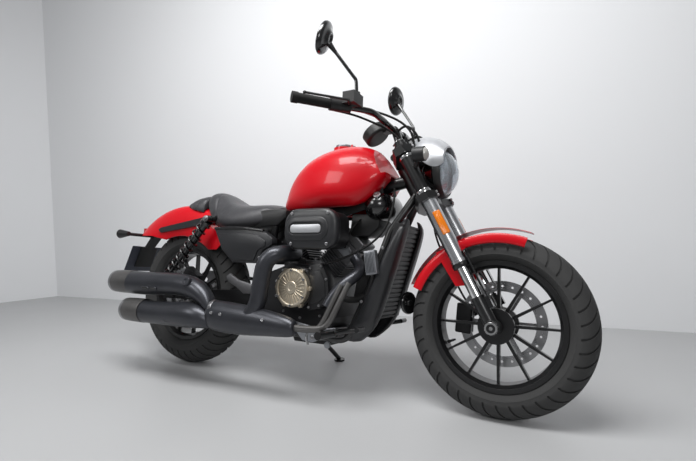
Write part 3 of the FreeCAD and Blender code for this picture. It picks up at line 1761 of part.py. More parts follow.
def make_air_cleaner():
    """Air cleaner: a body on the cylinders' right side and the rounded cover over it."""
    outer_y = size.air_cover_outer_y
    half_length = size.air_cover_length / 2
    half_height = size.air_cover_height / 2
    inner_y = outer_y - size.air_cover_depth

    def rounded(inset, high_y, low_y, corner):
        solid = box_between(
            Vector(size.air_cover_x - half_length + inset, -high_y, size.air_cover_z - half_height + inset),
            Vector(size.air_cover_x + half_length - inset, -low_y, size.air_cover_z + half_height - inset),
        )
        upright = [
            edge for edge in solid.Edges
            if abs(edge.Vertexes[0].Y - edge.Vertexes[1].Y) > size.fit_gap
        ]
        return solid.makeFillet(corner, upright)

    cover = rounded(0, outer_y, inner_y, size.air_cover_corner)
    front_edges = [
        edge for edge in cover.Edges if abs(edge.BoundBox.YMin + outer_y) < size.fit_gap
        and abs(edge.BoundBox.YMax + outer_y) < size.fit_gap
    ]
    cover = cover.makeFillet(size.air_cover_edge, front_edges)
    keep_shape("air_cleaner_cover", cover)
    low_y = inner_y - size.air_body_depth
    body = rounded(size.air_body_inset, inner_y, low_y, size.air_cover_corner - size.air_body_inset)
    cylinders = [item.Shape for item in nodes if item.Label in ("front_cylinder", "rear_cylinder")]
    keep_shape("air_cleaner", body.cut(cylinders))


make_air_cleaner()


# Radiator and shroud


def make_radiator():
    """Radiator core with its rows of fins, between the downtubes and the front wheel."""
    top = Vector(size.radiator_top_x, 0, size.radiator_top_z)
    low = Vector(size.radiator_low_x, 0, size.radiator_low_z)
    up = (top - low).normalize()
    height = (top - low).Length
    place = Placement(low, Rotation(Z_AXIS, up))
    half = size.radiator_half_width
    thick = size.radiator_thickness
    core = Part.makeBox(thick, 2 * half, height, Vector(0, -half, 0))
    pitch = height / size.fin_row_count
    slots = []
    for step in range(int(size.fin_row_count)):
        z = pitch * (step + 0.5) - size.fin_row_height / 2
        slots.append(Part.makeBox(
            size.fin_row_depth * 2,
            2 * half * 0.9,
            size.fin_row_height,
            Vector(thick - size.fin_row_depth, -half * 0.9, z),
        ))
    core = core.cut(slots)
    core.Placement = place
    frame = [item.Shape for item in nodes if item.Label == "frame"][0]
    return keep_shape("radiator", core.cut(frame))


make_radiator()

# Shroud side outline from its top front, as shares of the span from chin to top
SHROUD_SHARES = (
    (0.83, 0.91), (0.88, 0.93), (0.87, 0.86), (0.74, 0.55), (0.62, 0.24), (0.58, 0.14),
    (0.42, 0.05), (0.1, 0), (0, 0.03), (0.24, 0.16), (0.33, 0.27), (0.5, 0.54), (0.62, 0.72),
)


def make_shroud():
    """Tall radiator shroud: two side panels and a chin that closes the gap below them."""
    span_x = size.radiator_top_x - size.chin_x + size.radiator_thickness + size.shroud_wall * 4
    span_z = size.radiator_top_z + size.radiator_thickness - size.chin_low_z
    corners = [
        Vector(size.chin_x + a * span_x, 0, size.chin_low_z + b * span_z) for a, b in SHROUD_SHARES
    ]
    wall = size.shroud_wall
    panels = []
    for side in (-1, 1):
        y = side * size.shroud_half_width - (0 if side < 0 else wall)
        placed = [corner + Y_AXIS * y for corner in corners]
        panels.append(plate(placed, Y_AXIS, wall))
    chin_shares = SHROUD_SHARES[4:10]
    chin = [
        Vector(size.chin_x + a * span_x, -size.shroud_half_width, size.chin_low_z + b * span_z)
        for a, b in chin_shares
    ]
    chin_block = plate(chin, Y_AXIS, 2 * size.shroud_half_width)
    carriers = [item.Shape for item in nodes if item.Label in ("radiator", "frame")]
    return keep_shape("radiator_shroud", fused(panels + [chin_block]).cut(carriers))


make_shroud()


# Exhaust


def make_exhaust():
    """Two headers that run under the right side into stacked mufflers."""
    y = -size.pipe_y
    radius = size.header_radius
    cover = size.pipe_cover_radius
    front_angle = math.radians(size.front_cylinder_angle)
    rear_angle = math.radians(size.rear_cylinder_angle)
    port = size.cylinder_base + size.barrel_height + size.head_height / 2
    crank = Vector(size.crank_x, 0, size.crank_z)
    front_axis = Vector(math.sin(front_angle), 0, math.cos(front_angle))
    front_ahead = Vector(math.cos(front_angle), 0, -math.sin(front_angle))
    rear_axis = Vector(-math.sin(rear_angle), 0, math.cos(rear_angle))
    rear_behind = Vector(-math.cos(rear_angle), 0, -math.sin(rear_angle))
    face = size.cylinder_half_length - size.fin_depth / 4
    front_start = crank + front_axis * port + front_ahead * face
    rear_out = crank + rear_axis * port + rear_behind * radius * 1.2 - Y_AXIS * size.cylinder_half_width
    joint = Vector(size.exhaust_joint_x, y, size.front_pipe_z)
    outward = Y_AXIS * -(size.cylinder_half_width - 1.5 * radius)
    front_path = [
        front_start + outward,
        front_start + outward + front_ahead * radius * 2,
        Vector(size.header_knee_x, y * 0.72, size.header_knee_z),
        Vector(size.header_low_x, y * 0.9, size.front_pipe_z + radius * 2),
        Vector(size.header_low_x - radius * 3, y, size.front_pipe_z + radius / 4),
        joint,
    ]
    rear_path = [
        rear_out,
        rear_out + Vector(-radius * 0.6, -radius * 5, 0),
        Vector(size.rear_header_x, y * 0.86, rear_out.z - radius * 3),
        Vector(size.rear_header_x, y, size.rear_pipe_z + radius),
        Vector(size.exhaust_joint_x, y, size.rear_pipe_z),
    ]
    headers = fused([
        tube(front_path, radius, radius * 1.3),
        tube(rear_path, radius, radius * 1.3),
    ])
    others = [
        item.Shape for item in nodes
        if item.Label in ("front_cylinder", "rear_cylinder", "upper_muffler", "lower_muffler")
    ]
    return keep_shape("exhaust_headers", headers.cut(others))


def make_muffler(node, tip_x, y, z, front_x, inlet):
    """Long round muffler, open at its tip, that narrows into its inlet pipe."""
    radius = size.muffler_radius
    tip = Vector(tip_x, -y, z)
    front = Vector(front_x, -y, z)
    wires = []
    for centre, direction, share in (
        (tip, X_AXIS, 0.94),
        (tip + X_AXIS * radius, X_AXIS, 1),
        (tip * 0.4 + front * 0.6, X_AXIS, 1),
        (front, (inlet - front).normalize() + X_AXIS, 0.92),
        (inlet, X_AXIS, size.pipe_cover_radius / radius),
    ):
        wires.append(Part.Wire([Part.makeCircle(radius * share, centre, direction)]))
    solid = loft(wires)
    upper = [item.Shape for item in nodes if item.Label == "upper_muffler"]
    if upper:
        solid = solid.cut(upper)
    mouth = rod(tip - X_AXIS * size.cut_overrun, tip + X_AXIS * size.muffler_mouth_depth, radius * 0.94 - size.muffler_wall)
    return keep_shape(node, solid.cut(mouth))


make_muffler(
    "upper_muffler",
    size.upper_muffler_tip_x,
    size.upper_muffler_y,
    size.upper_muffler_z,
    size.upper_muffler_front_x,
    Vector(size.exhaust_joint_x, -size.pipe_y, size.rear_pipe_z),
)
make_muffler(
    "lower_muffler",
    size.lower_muffler_tip_x,
    size.lower_muffler_y,
    size.lower_muffler_z,
    size.lower_muffler_front_x,
    Vector(size.exhaust_joint_x, -size.pipe_y, size.front_pipe_z),
)

make_exhaust()


# Tank, seat and covers

# Tank stations: place along the length, half width, underside and top
TANK_SHARES = (
    (0, 0.26, 0.04, 0.2),
    (0.08, 0.48, 0, 0.5),
    (0.25, 0.76, 0, 0.82),
    (0.45, 0.94, 0, 0.96),
    (0.65, 1, 0, 1),
    (0.82, 0.93, 0.06, 0.94),
    (0.94, 0.78, 0.26, 0.78),
    (1, 0.6, 0.42, 0.6),
)


def body_section(x, half, low, high):
    """Rounded closed section across the machine with a flat underside."""
    rise = high - low
    return smooth_section([
        Vector(x, 0, low),
        Vector(x, half * 0.8, low),
        Vector(x, half * 0.98, low + rise * 0.16),
        Vector(x, half, low + rise * 0.42),
        Vector(x, half * 0.8, low + rise * 0.78),
        Vector(x, half * 0.42, low + rise * 0.96),
        Vector(x, 0, high),
        Vector(x, -half * 0.42, low + rise * 0.96),
        Vector(x, -half * 0.8, low + rise * 0.78),
        Vector(x, -half, low + rise * 0.42),
        Vector(x, -half * 0.98, low + rise * 0.16),
        Vector(x, -half * 0.8, low),
    ])


def lid_hinge_point():
    """Middle of the fuel lid's hinge pin, ahead of the lid."""
    neck_top = size.tank_low_z + size.tank_height + size.fuel_neck_height
    return Vector(
        size.fuel_cap_x + size.fuel_cap_radius + size.hinge_offset, 0, neck_top + size.hinge_rise
    )


def make_tank():
    """Fuel tank with a tunnel over the backbone, a neck for its lid and the lid's hinge."""
    wires = []
    for along, wide, low, high in TANK_SHARES:
        wires.append(body_section(
            size.tank_rear_x + along * size.tank_length,
            wide * size.tank_half_width,
            size.tank_low_z + low * size.tank_height,
            size.tank_low_z + high * size.tank_height,
        ))
    tank = loft(wires)
    front = fork_point(-size.fork_offset, 0, size.backbone_front_s)
    rear = Vector(size.backbone_rear_x, 0, size.backbone_rear_z)
    reach = size.backbone_radius + size.tank_tunnel_clearance
    along = (front - rear).normalize()
    lower = Vector(0, 0, size.tank_height)
    tunnel_corners = [
        rear - along * size.tank_length + Z_AXIS * reach,
        front + along * size.tank_length + Z_AXIS * reach,
        front + along * size.tank_length - lower,
        rear - along * size.tank_length - lower,
    ]
    placed = [corner - Y_AXIS * size.tank_tunnel_half_width for corner in tunnel_corners]
    tunnel = plate(placed, Y_AXIS, 2 * size.tank_tunnel_half_width)
    clamp_room = Part.makeBox(
        size.tank_length,
        4 * size.tank_half_width,
        size.tank_height,
        Vector(
            -size.fork_offset - size.steering_room,
            -2 * size.tank_half_width,
            size.upper_clamp_low - size.chain_room,
        ),
    )
    clamp_room.Placement = fork_place
    neck_top = size.tank_low_z + size.tank_height
    neck = Part.makeCylinder(
        size.fuel_neck_radius,
        size.tank_height / 4,
        Vector(size.fuel_cap_x, 0, neck_top - size.tank_height / 4 + size.fuel_neck_height),
    )
    frame = [item.Shape for item in nodes if item.Label == "frame"][0]
    hinge = lid_hinge_point()
    outer = size.hinge_half_length + size.fuel_cap_gap + size.hinge_ear_thickness
    ears = [
        box_between(
            Vector(hinge.x - size.hinge_radius, low, hinge.z - size.hinge_rise * 2),
            Vector(hinge.x + size.hinge_radius, low + size.hinge_ear_thickness, hinge.z + size.hinge_radius),
        )
        for low in (-outer, outer - size.hinge_ear_thickness)
    ]
    pin = rod(hinge - Y_AXIS * outer, hinge + Y_AXIS * outer, size.hinge_pin_radius)
    return keep_shape("fuel_tank", fused([tank.cut([tunnel, clamp_room]), neck, pin] + ears).cut(frame))


make_tank()


def make_fuel_cap():
    """Fuel lid on the tank's neck."""
    base = size.tank_low_z + size.tank_height + size.fuel_neck_height + size.fuel_cap_gap
    cap = Part.makeCylinder(
        size.fuel_cap_radius, size.fuel_cap_height, Vector(size.fuel_cap_x, 0, base)
    )
    top_edge = [edge for edge in cap.Edges if edge.BoundBox.ZMin > base + size.fuel_cap_gap]
    cap = cap.makeFillet(size.fuel_cap_height / 3, top_edge)
    hinge = lid_hinge_point()
    half = size.hinge_half_length
    barrel = rod(hinge - Y_AXIS * half, hinge + Y_AXIS * half, size.hinge_radius)
    tongue = box_between(
        Vector(size.fuel_cap_x + size.fuel_cap_radius * 0.8, -half, hinge.z - size.hinge_radius / 2),
        Vector(hinge.x, half, hinge.z + size.hinge_radius / 2),
    )
    bore = rod(
        hinge - Y_AXIS * half * 2,
        hinge + Y_AXIS * half * 2,
        size.hinge_pin_radius + size.stand_pin_gap,
    )
    return keep_shape("fuel_cap", fused([cap, barrel, tongue]).cut(bore))


make_fuel_cap()

# Seat stations: place along the length, half width, underside and top
SEAT_SHARES = (
    (0, 0.5, 0.56, 0.97),
    (0.08, 0.66, 0.36, 1),
    (0.2, 0.8, 0.14, 0.9),
    (0.36, 0.95, 0.03, 0.7),
    (0.62, 0.98, 0, 0.6),
    (0.85, 0.82, 0.06, 0.6),
    (1, 0.62, 0.14, 0.58),
)


def make_seat():
    """Rider's seat, hollowed below over the frame rails and the rear fender."""
    wires = []
    for along, wide, low, high in SEAT_SHARES:
        wires.append(body_section(
            size.seat_rear_x + along * size.seat_length,
            wide * size.seat_half_width,
            size.seat_low_z + low * size.seat_height,
            size.seat_low_z + high * size.seat_height,
        ))
    seat = loft(wires)
    rail = size.frame_tube_radius + size.fit_gap
    half = size.seat_rail_half_spacing + rail
    front = Vector(size.seat_rail_front_x, -half, size.seat_rail_front_z)
    rear = Vector(size.seat_rail_rear_x - rail, -half, size.seat_rail_rear_z)
    step = front - X_AXIS * size.frame_bend_radius
    ahead = Vector(size.seat_length, 0, 0)
    rail_room = plate(
        [
            rear + Z_AXIS * rail,
            step + Z_AXIS * rail,
            step + Z_AXIS * rail * 1.8,
            front + ahead + Z_AXIS * rail * 1.8,
            front + ahead - Z_AXIS * size.seat_height,
            rear - Z_AXIS * size.seat_height,
        ],
        Y_AXIS,
        2 * half,
    )
    outward = Y_AXIS * size.shock_offset
    boss = Vector(size.shock_top_x, 0, size.shock_top_z)
    boss_room = rod(boss - outward, boss + outward, size.shock_boss_radius + size.fit_gap)
    return keep_shape("rider_seat", seat.cut([rail_room, boss_room, fender_room]))


def make_rear_fender():
    """Rear fender: crowned sheet over the wheel with side skirts."""
    centre = Vector(size.rear_fender_centre_x, 0, size.rear_fender_centre_z)
    outer = size.rear_fender_radius
    wall = size.rear_fender_thickness
    half = size.rear_fender_half_width
    depth = size.rear_fender_skirt_depth
    crown = size.rear_fender_crown

    def arch(radius, width):
        curve = Part.BSplineCurve()
        curve.interpolate([
            Vector(radius - depth, -width, 0),
            Vector(radius - crown * 1.6, -width, 0),
            Vector(radius - crown * 0.4, -width * 0.8, 0),
            Vector(radius, 0, 0),
            Vector(radius - crown * 0.4, width * 0.8, 0),
            Vector(radius - crown * 1.6, width, 0),
            Vector(radius - depth, width, 0),
        ])
        return curve

    upper = arch(outer, half)
    under = arch(outer - wall, half - wall)
    face = Part.Face(Part.Wire([
        upper.toShape(),
        Part.LineSegment(upper.EndPoint, under.EndPoint).toShape(),
        under.toShape(),
        Part.LineSegment(under.StartPoint, upper.StartPoint).toShape(),
    ]))
    start = size.rear_fender_start_angle
    face.rotate(Vector(), Y_AXIS, -start)
    blade = face.revolve(Vector(), -Y_AXIS, size.rear_fender_end_angle - start)
    blade.translate(centre)
    filled = Part.Face(Part.Wire([
        upper.toShape(),
        Part.LineSegment(upper.EndPoint, Vector(outer / 2, half, 0)).toShape(),
        Part.LineSegment(Vector(outer / 2, half, 0), Vector(outer / 2, -half, 0)).toShape(),
        Part.LineSegment(Vector(outer / 2, -half, 0), upper.StartPoint).toShape(),
    ]))
    filled.rotate(Vector(), Y_AXIS, -size.rear_fender_end_angle / 8)
    under_seat = filled.revolve(Vector(), -Y_AXIS, size.rear_fender_end_angle)
    under_seat.translate(centre)
    rear_low = Vector(size.strut_rear_x, 0, size.strut_rear_z)
    cutter = plate(
        [
            centre + Vector(-outer * 1.2, -half * 2, outer * 0.68),
            centre + Vector(-outer * 0.45, -half * 2, outer * 0.66),
            centre + Vector(outer * 0.3, -half * 2, outer * 0.52),
            centre + Vector(outer * 0.8, -half * 2, outer * 0.52),
            centre + Vector(outer * 0.8, -half * 2, -outer),
            centre + Vector(-outer * 1.2, -half * 2, -outer),
        ],
        Y_AXIS,
        half * 4,
    )
    frame = [item.Shape for item in nodes if item.Label == "frame"][0]
    keep_shape("rear_fender", blade.cut([cutter, frame]))
    return under_seat


fender_room = make_rear_fender()
make_seat()


def make_tail_pad():
    """Small pad behind the rider's seat, seated on the fender."""
    wires = []
    rear = size.tail_pad_rear_x
    front = size.seat_rear_x - size.tail_pad_gap
    for along, wide, low, high in TAIL_PAD_SHARES:
        x = rear + along * (front - rear)
        half = wide * size.tail_pad_half_width
        drop = (x - size.rear_fender_centre_x) ** 2
        crest = size.rear_fender_centre_z + math.sqrt(size.rear_fender_radius ** 2 - drop)
        base = crest - size.rear_fender_crown * (1.2 - low)
        wires.append(body_section(x, half, base, crest + high * size.tail_pad_height))
    pad_solid = loft(wires)
    seat = [item.Shape for item in nodes if item.Label == "rider_seat"][0]
    return keep_shape("tail_pad", pad_solid.cut([fender_room, seat]))


TAIL_PAD_SHARES = ((0, 0.62, 0.5, 0.1), (0.3, 0.86, 0.2, 0.34), (0.7, 0.96, 0, 0.7), (1, 0.9, 0, 0.88))
make_tail_pad()


def make_struts():
    """Flat bars along both sides that carry the rear fender."""
    struts = []
    for side in (-1, 1):
        y = side * (size.rear_fender_half_width + size.fit_gap)
        front = Vector(size.strut_front_x, y, size.strut_front_z)
        rear = Vector(size.strut_rear_x, y, size.strut_rear_z)
        half = size.strut_half_height
        corners = [
            front + Z_AXIS * half,
            front - Z_AXIS * half,
            rear - Z_AXIS * half * 0.6,
            rear - X_AXIS * half + Z_AXIS * half * 0.2,
            rear + Z_AXIS * half * 0.7,
        ]
        struts.append(plate(corners, Y_AXIS * side, size.strut_thickness))
    frame = [item.Shape for item in nodes if item.Label == "frame"][0]
    seat = [item.Shape for item in nodes if item.Label == "rider_seat"][0]
    return keep_shape("fender_struts", Part.makeCompound([
        strut.cut([frame, seat, fender_room]) for strut in struts
    ]))


make_struts()

SIDE_COVER_SHARES = ((0, 1), (0.985, 0.92), (1, 0.56), (0.82, 0.47), (0.745, 0), (0.29, 0.11))


def make_side_covers():
    """Side covers below the seat, one on each side."""
    covers = []
    for side in (-1, 1):
        corners = [
            Vector(
                size.side_cover_rear_x + a * size.side_cover_length,
                side * size.side_cover_inner_y,
                size.side_cover_low_z + b * size.side_cover_height,
            )
            for a, b in SIDE_COVER_SHARES
        ]
        covers.append(plate(corners, Y_AXIS * side, size.side_cover_depth))
    seat = [item.Shape for item in nodes if item.Label == "rider_seat"][0]
    return keep_shape("side_covers", Part.makeCompound([cover.cut(seat) for cover in covers]))


make_side_covers()


# Tail


def make_tail():
    """Tail lamp, rear indicators, plate bracket and number plate."""
    lamp = box_between(
        Vector(size.tail_lamp_x - size.tail_lamp_depth, -size.tail_lamp_half_width, size.tail_lamp_z),
        Vector(size.tail_lamp_x, size.tail_lamp_half_width, size.tail_lamp_z + size.tail_lamp_height),
    )
    fender = [item.Shape for item in nodes if item.Label == "rear_fender"][0]
    keep_shape("tail_lamp", lamp.cut(fender))
    bar_z = size.rear_indicator_z
    bar = rod(
        Vector(size.rear_indicator_x, -size.rear_indicator_y, bar_z),
        Vector(size.rear_indicator_x, size.rear_indicator_y, bar_z),
        size.indicator_stalk_radius,
    )
    lamps = [bar]
    for side in (-1, 1):
        centre = Vector(size.rear_indicator_x, side * size.rear_indicator_y, bar_z)
        lamps.append(Part.makeCone(
            size.rear_indicator_radius * 0.5,
            size.rear_indicator_radius,
            size.rear_indicator_length,
            centre + X_AXIS * size.rear_indicator_length / 3,
            -X_AXIS,
        ))
    keep_shape("rear_indicators", fused(lamps).cut([fender, lamp]))
    top = Vector(size.plate_top_x, 0, size.plate_top_z)
    place = Placement(top, Rotation(Y_AXIS, size.plate_tilt))
    number_plate = Part.makeBox(
        size.plate_thickness,
        2 * size.plate_half_width,
        size.plate_height,
        Vector(-size.plate_thickness, -size.plate_half_width, -size.plate_height),
    )
    keep_shape("number_plate", number_plate, place)
    backing = Part.makeBox(
        size.plate_backing,
        size.plate_half_width,
        size.plate_height * 0.8,
        Vector(0, -size.plate_half_width / 2, -size.plate_height * 0.8),
    )
    backing.Placement = place
    arm = plate(
        [
            top + Vector(0, -size.tail_lamp_half_width * 0.6, 0),
            top + Vector(size.plate_backing, -size.tail_lamp_half_width * 0.6, -size.plate_backing),
            Vector(size.rear_indicator_x + size.plate_backing * 2, -size.tail_lamp_half_width * 0.6, bar_z),
            Vector(size.rear_indicator_x - size.plate_backing, -size.tail_lamp_half_width * 0.6, bar_z),
        ],
        Y_AXIS,
        size.tail_lamp_half_width * 1.2,
    )
    indicators = [item.Shape for item in nodes if item.Label == "rear_indicators"][0]
    keep_shape("plate_bracket", fused([backing, arm]).cut([indicators, fender, number_plate]))


make_tail()


def make_rear_caliper():
    """Rear caliper over the disc, on a bracket from the swingarm."""
    middle_radius = size.rear_disc_radius - size.rear_disc_width / 2
    half = size.rear_caliper_half_width
    slot = size.disc_thickness / 2 + size.caliper_gap
    length = size.rear_caliper_length
    depth = size.rear_caliper_depth
    block = Part.makeBox(length, 2 * half, depth, Vector(-length / 2, -half, -depth / 2))
    gap = Part.makeBox(
        length * 2,
        2 * slot,
        depth,
        Vector(-length, -slot, -depth + size.rear_disc_width / 2 + size.caliper_gap),
    )
    block = block.cut(gap)
    axle = Vector(0, 0, size.rear_tyre_radius)
    place = Placement(
        axle - Y_AXIS * size.rear_disc_offset, Rotation(Y_AXIS, 90 - size.rear_caliper_angle)
    ).multiply(Placement(Vector(0, 0, middle_radius), Rotation()))
    block.Placement = place
    return keep_shape("rear_caliper", block)


make_rear_caliper()


def make_foot_controls():
    """Footpegs on arms from the cradle, with the brake pedal and the gear pedal."""
    solids = []
    for side in (-1, 1):
        root = Vector(size.peg_x, side * size.peg_root_y, size.peg_z)
        tip = root + Y_AXIS * side * size.peg_length
        cradle = Vector(
            size.cradle_front_x, side * (size.downtube_half_spacing + size.frame_tube_radius * 0.5), size.peg_z
        )
        peg = rod(root, tip, size.peg_radius)
        arm = rod(cradle, root, size.peg_radius * 1.3)
        pedal_root = root + Y_AXIS * side * size.peg_radius * 1.5
        pedal_end = pedal_root + Vector(size.pedal_forward, 0, size.pedal_rise)
        pedal = rod(pedal_root, pedal_end, size.peg_arm_radius)
        pad_bar = rod(
            pedal_end, pedal_end + Y_AXIS * side * size.pedal_pad_length, size.peg_arm_radius
        )
        solids.append(fused([arm, peg, pedal, pad_bar]))
    frame = [item.Shape for item in nodes if item.Label == "frame"][0]
    shroud = [item.Shape for item in nodes if item.Label == "radiator_shroud"][0]
    return keep_shape("foot_controls", Part.makeCompound([
        solid.cut([frame, shroud]) for solid in solids
    ]))


make_foot_controls()


# Side stand


def make_side_stand():
    """Side stand leg from its pivot boss to the round foot on the ground."""
    pivot = Vector(size.stand_pivot_x, size.stand_pivot_y, size.stand_pivot_z)
    upright = lean_place.inverse()
    ground = upright.multVec(Vector(size.stand_foot_x, size.stand_foot_y, 0))
    up = upright.Rotation.multVec(Z_AXIS)
    ankle = ground + up * size.stand_foot_thickness
    leg = rod(pivot, ankle, size.stand_leg_radius)
    foot = rod(ground, ankle, size.stand_foot_radius)
    half = stand_axis * size.stand_boss_half_width
    boss = rod(pivot - half, pivot + half, size.stand_boss_radius)
    bore = rod(pivot - half * 2, pivot + half * 2, size.stand_pin_radius + size.stand_pin_gap)
    inner_side = rod(
        pivot - half - stand_axis * size.stand_bracket_length, pivot - half, size.stand_boss_radius * 2
    )
    outer_side = rod(
        pivot + half, pivot + half + stand_axis * size.stand_bracket_length, size.stand_boss_radius
    )
    below = Part.makeBox(
        size.wheelbase, size.wheelbase, size.wheelbase, Vector(0, -size.wheelbase / 2, -size.wheelbase)
    )
    below.Placement = upright
    stand = fused([leg, foot, boss]).cut([bore, inner_side, outer_side, below])
    return keep_shape("side_stand", stand)


make_side_stand()


# Checks, lean, origin and files

doc.recompute()
faults = []
for item in doc.Objects:
    if "Invalid" in item.State or "Error" in item.State:
        faults.append(f"{item.Name} is {item.State}")
for item in nodes:
    if item.Shape.isNull() or not item.Shape.isValid():
        faults.append(f"{item.Label} has no valid shape")
if faults:
    raise RuntimeError("; ".join(faults))

bounds = FreeCAD.BoundBox()
for item in nodes:
    item.Placement = lean_place.multiply(item.Placement)
    points, facets = item.Shape.tessellate(size.fit_gap * 2)
    for point in points:
        bounds.add(point)
shift = Placement(Vector(-bounds.Center.x, -bounds.Center.y, -bounds.ZMin), Rotation())
for item in nodes:
    item.Placement = shift.multiply(item.Placement)
doc.recompute()

os.makedirs("parts", exist_ok=True)
for item in nodes:
    item.Shape.exportStep(f"parts/{item.Label}.step")
print("parts written:", len(nodes), "shift:", shift.Base, "bounds:", bounds)
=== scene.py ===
"""Dresses the leaning cruiser motorcycle: finishes for its solids, and the finer pieces around them."""
import logging
import math
from collections.abc import Iterable, Sequence
from dataclasses import dataclass
from enum import Enum
from functools import lru_cache
from typing import Any

import bpy
from mathutils import Matrix, Vector


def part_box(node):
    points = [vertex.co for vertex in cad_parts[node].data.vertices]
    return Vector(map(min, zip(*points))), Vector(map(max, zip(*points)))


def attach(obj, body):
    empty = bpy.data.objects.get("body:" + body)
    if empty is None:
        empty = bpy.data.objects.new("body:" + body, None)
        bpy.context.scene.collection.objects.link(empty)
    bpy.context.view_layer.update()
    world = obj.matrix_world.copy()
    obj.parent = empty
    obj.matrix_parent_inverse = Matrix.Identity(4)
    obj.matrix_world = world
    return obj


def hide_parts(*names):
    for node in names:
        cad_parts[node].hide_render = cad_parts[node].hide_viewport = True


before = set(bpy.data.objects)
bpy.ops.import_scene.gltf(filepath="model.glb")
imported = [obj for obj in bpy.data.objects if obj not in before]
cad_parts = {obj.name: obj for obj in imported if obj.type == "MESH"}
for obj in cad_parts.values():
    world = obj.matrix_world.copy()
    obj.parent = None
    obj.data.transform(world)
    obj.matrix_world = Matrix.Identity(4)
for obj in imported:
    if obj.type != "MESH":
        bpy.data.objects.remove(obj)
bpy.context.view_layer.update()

log = logging.getLogger("cruiser")

Colour = tuple[float, float, float]

LEAN = math.radians(8.0)
LEAN_HEIGHT = 0.075
RAKE = math.radians(28.0)
FRONT_AXLE = Vector((1.420, 0.0, 0.298853))
REAR_AXLE = Vector((0.0, 0.0, 0.323))
X_AXIS = Vector((1.0, 0.0, 0.0))
Y_AXIS = Vector((0.0, 1.0, 0.0))
Z_AXIS = Vector((0.0, 0.0, 1.0))
LEFT = Y_AXIS
RIGHT = -Y_AXIS
SIDES = (("right", -1.0), ("left", 1.0))
STAND_UP = Matrix.Rotation(math.pi / 2.0, 4, "X")
WELD_GAP = 0.00002
BEVELLED_ANGLE = math.radians(40.0)

# Degrees up to which an edge is shaded smooth: on crisp pieces, and on round ones
CRISP = 38.0
ROUND = 60.0


def leaning() -> Matrix:
    """Turns the upright machine over on to its stand, before it is centred."""
    lift = Matrix.Translation((0.0, 0.0, LEAN_HEIGHT))
    return lift @ Matrix.Rotation(-LEAN, 4, "X") @ lift.inverted()


def centring() -> Matrix:
    """Moves the leaning machine to where its rear tyre is in the frame."""
    low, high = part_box("rear_tyre")
    gap = (low + high) / 2.0 - leaning() @ REAR_AXLE
    return Matrix.Translation((gap.x, gap.y, 0.0))


CENTRED = centring()
UPRIGHT = CENTRED @ leaning()
FORK = UPRIGHT @ Matrix(
    (
        (math.cos(RAKE), 0.0, -math.sin(RAKE), FRONT_AXLE.x),
        (0.0, 1.0, 0.0, FRONT_AXLE.y),
        (math.sin(RAKE), 0.0, math.cos(RAKE), FRONT_AXLE.z),
        (0.0, 0.0, 0.0, 1.0),
    )
)


def mm(x: float, y: float, z: float) -> Vector:
    """Gives a point of the upright machine from millimetres, in metres."""
    return Vector((x, y, z)) / 1000.0


def aimed(point: Sequence[float], axis: Sequence[float], roll: float = 0.0) -> Matrix:
    """Places a piece that was made along Z.

    Args:
        point: where its origin goes.
        axis: where its Z goes.
        roll: a turn about its own Z, in radians.

    Returns:
        The matrix of that place.
    """
    turn = Z_AXIS.rotation_difference(Vector(axis)).to_matrix().to_4x4()
    return Matrix.Translation(Vector(point)) @ turn @ Matrix.Rotation(roll, 4, "Z")


class Bench:
    """Adds nodes to one shader tree and joins them."""

    MIX_COLOURS = (0, 6, 7)
    MIX_RESULT = 2

    def __init__(self, tree: bpy.types.NodeTree) -> None:
        """Keeps the tree.

        Args:
            tree: the tree of a material or of a node group.
        """
        self.tree = tree

    def node(self, kind: str, inputs: dict[str, Any] | None = None, **settings: Any) -> bpy.types.Node:
        """Adds a node.

        Args:
            kind: the node's type name.
            inputs: values or output sockets by the names of its inputs.
            **settings: the node's own properties.

        Returns:
            The new node.
        """
        made = self.tree.nodes.new(kind)
        for key, value in settings.items():
            setattr(made, key, value)
        for name, value in (inputs or {}).items():
            self.feed(made.inputs[name], value)
        return made

    def feed(self, socket: bpy.types.NodeSocket, value: Any) -> None:
        """Links an output to a socket, or sets the socket's own value."""
        if isinstance(value, bpy.types.NodeSocket):
            self.tree.links.new(value, socket)
        elif isinstance(value, tuple) and len(value) == 3 and socket.type == "RGBA":
            socket.default_value = (*value, 1.0)
        else:
            socket.default_value = value

    def sum(self, operation: str, first: Any, second: Any = 0.0, clamp: bool = False) -> bpy.types.NodeSocket:
        """Works out one number.

        Args:
            operation: a Math node's operation.
            first: a number or an output.
            second: a number or an output.
            clamp: keep the result between 0 and 1.

        Returns:
            The output with the result.
        """
        made = self.node("ShaderNodeMath", operation=operation, use_clamp=clamp)
        self.feed(made.inputs[0], first)
        self.feed(made.inputs[1], second)
        return made.outputs[0]

    def mix(self, share: Any, first: Any, second: Any) -> bpy.types.NodeSocket:
        """Mixes two colours by a share of the second."""
        made = self.node("ShaderNodeMix", data_type="RGBA", clamp_factor=True)
        for index, value in zip(self.MIX_COLOURS, (share, first, second)):
            self.feed(made.inputs[index], value)
        return made.outputs[self.MIX_RESULT]

    def spread(
        self, value: Any, low: float, high: float, to_low: float = 0.0, to_high: float = 1.0
    ) -> bpy.types.NodeSocket:
        """Maps one range of a value to another, held at its ends."""
        made = self.node("ShaderNodeMapRange", clamp=True)
        for index, number in enumerate((value, low, high, to_low, to_high)):
            self.feed(made.inputs[index], number)
        return made.outputs[0]

    def noise(
        self, vector: Any, scale: Any, detail: float = 4.0, roughness: float = 0.55
    ) -> bpy.types.NodeSocket:
        """Adds a noise texture and gives its value."""
        wanted = {"Vector": vector, "Scale": scale, "Detail": detail, "Roughness": roughness}
        return self.node("ShaderNodeTexNoise", wanted).outputs[0]


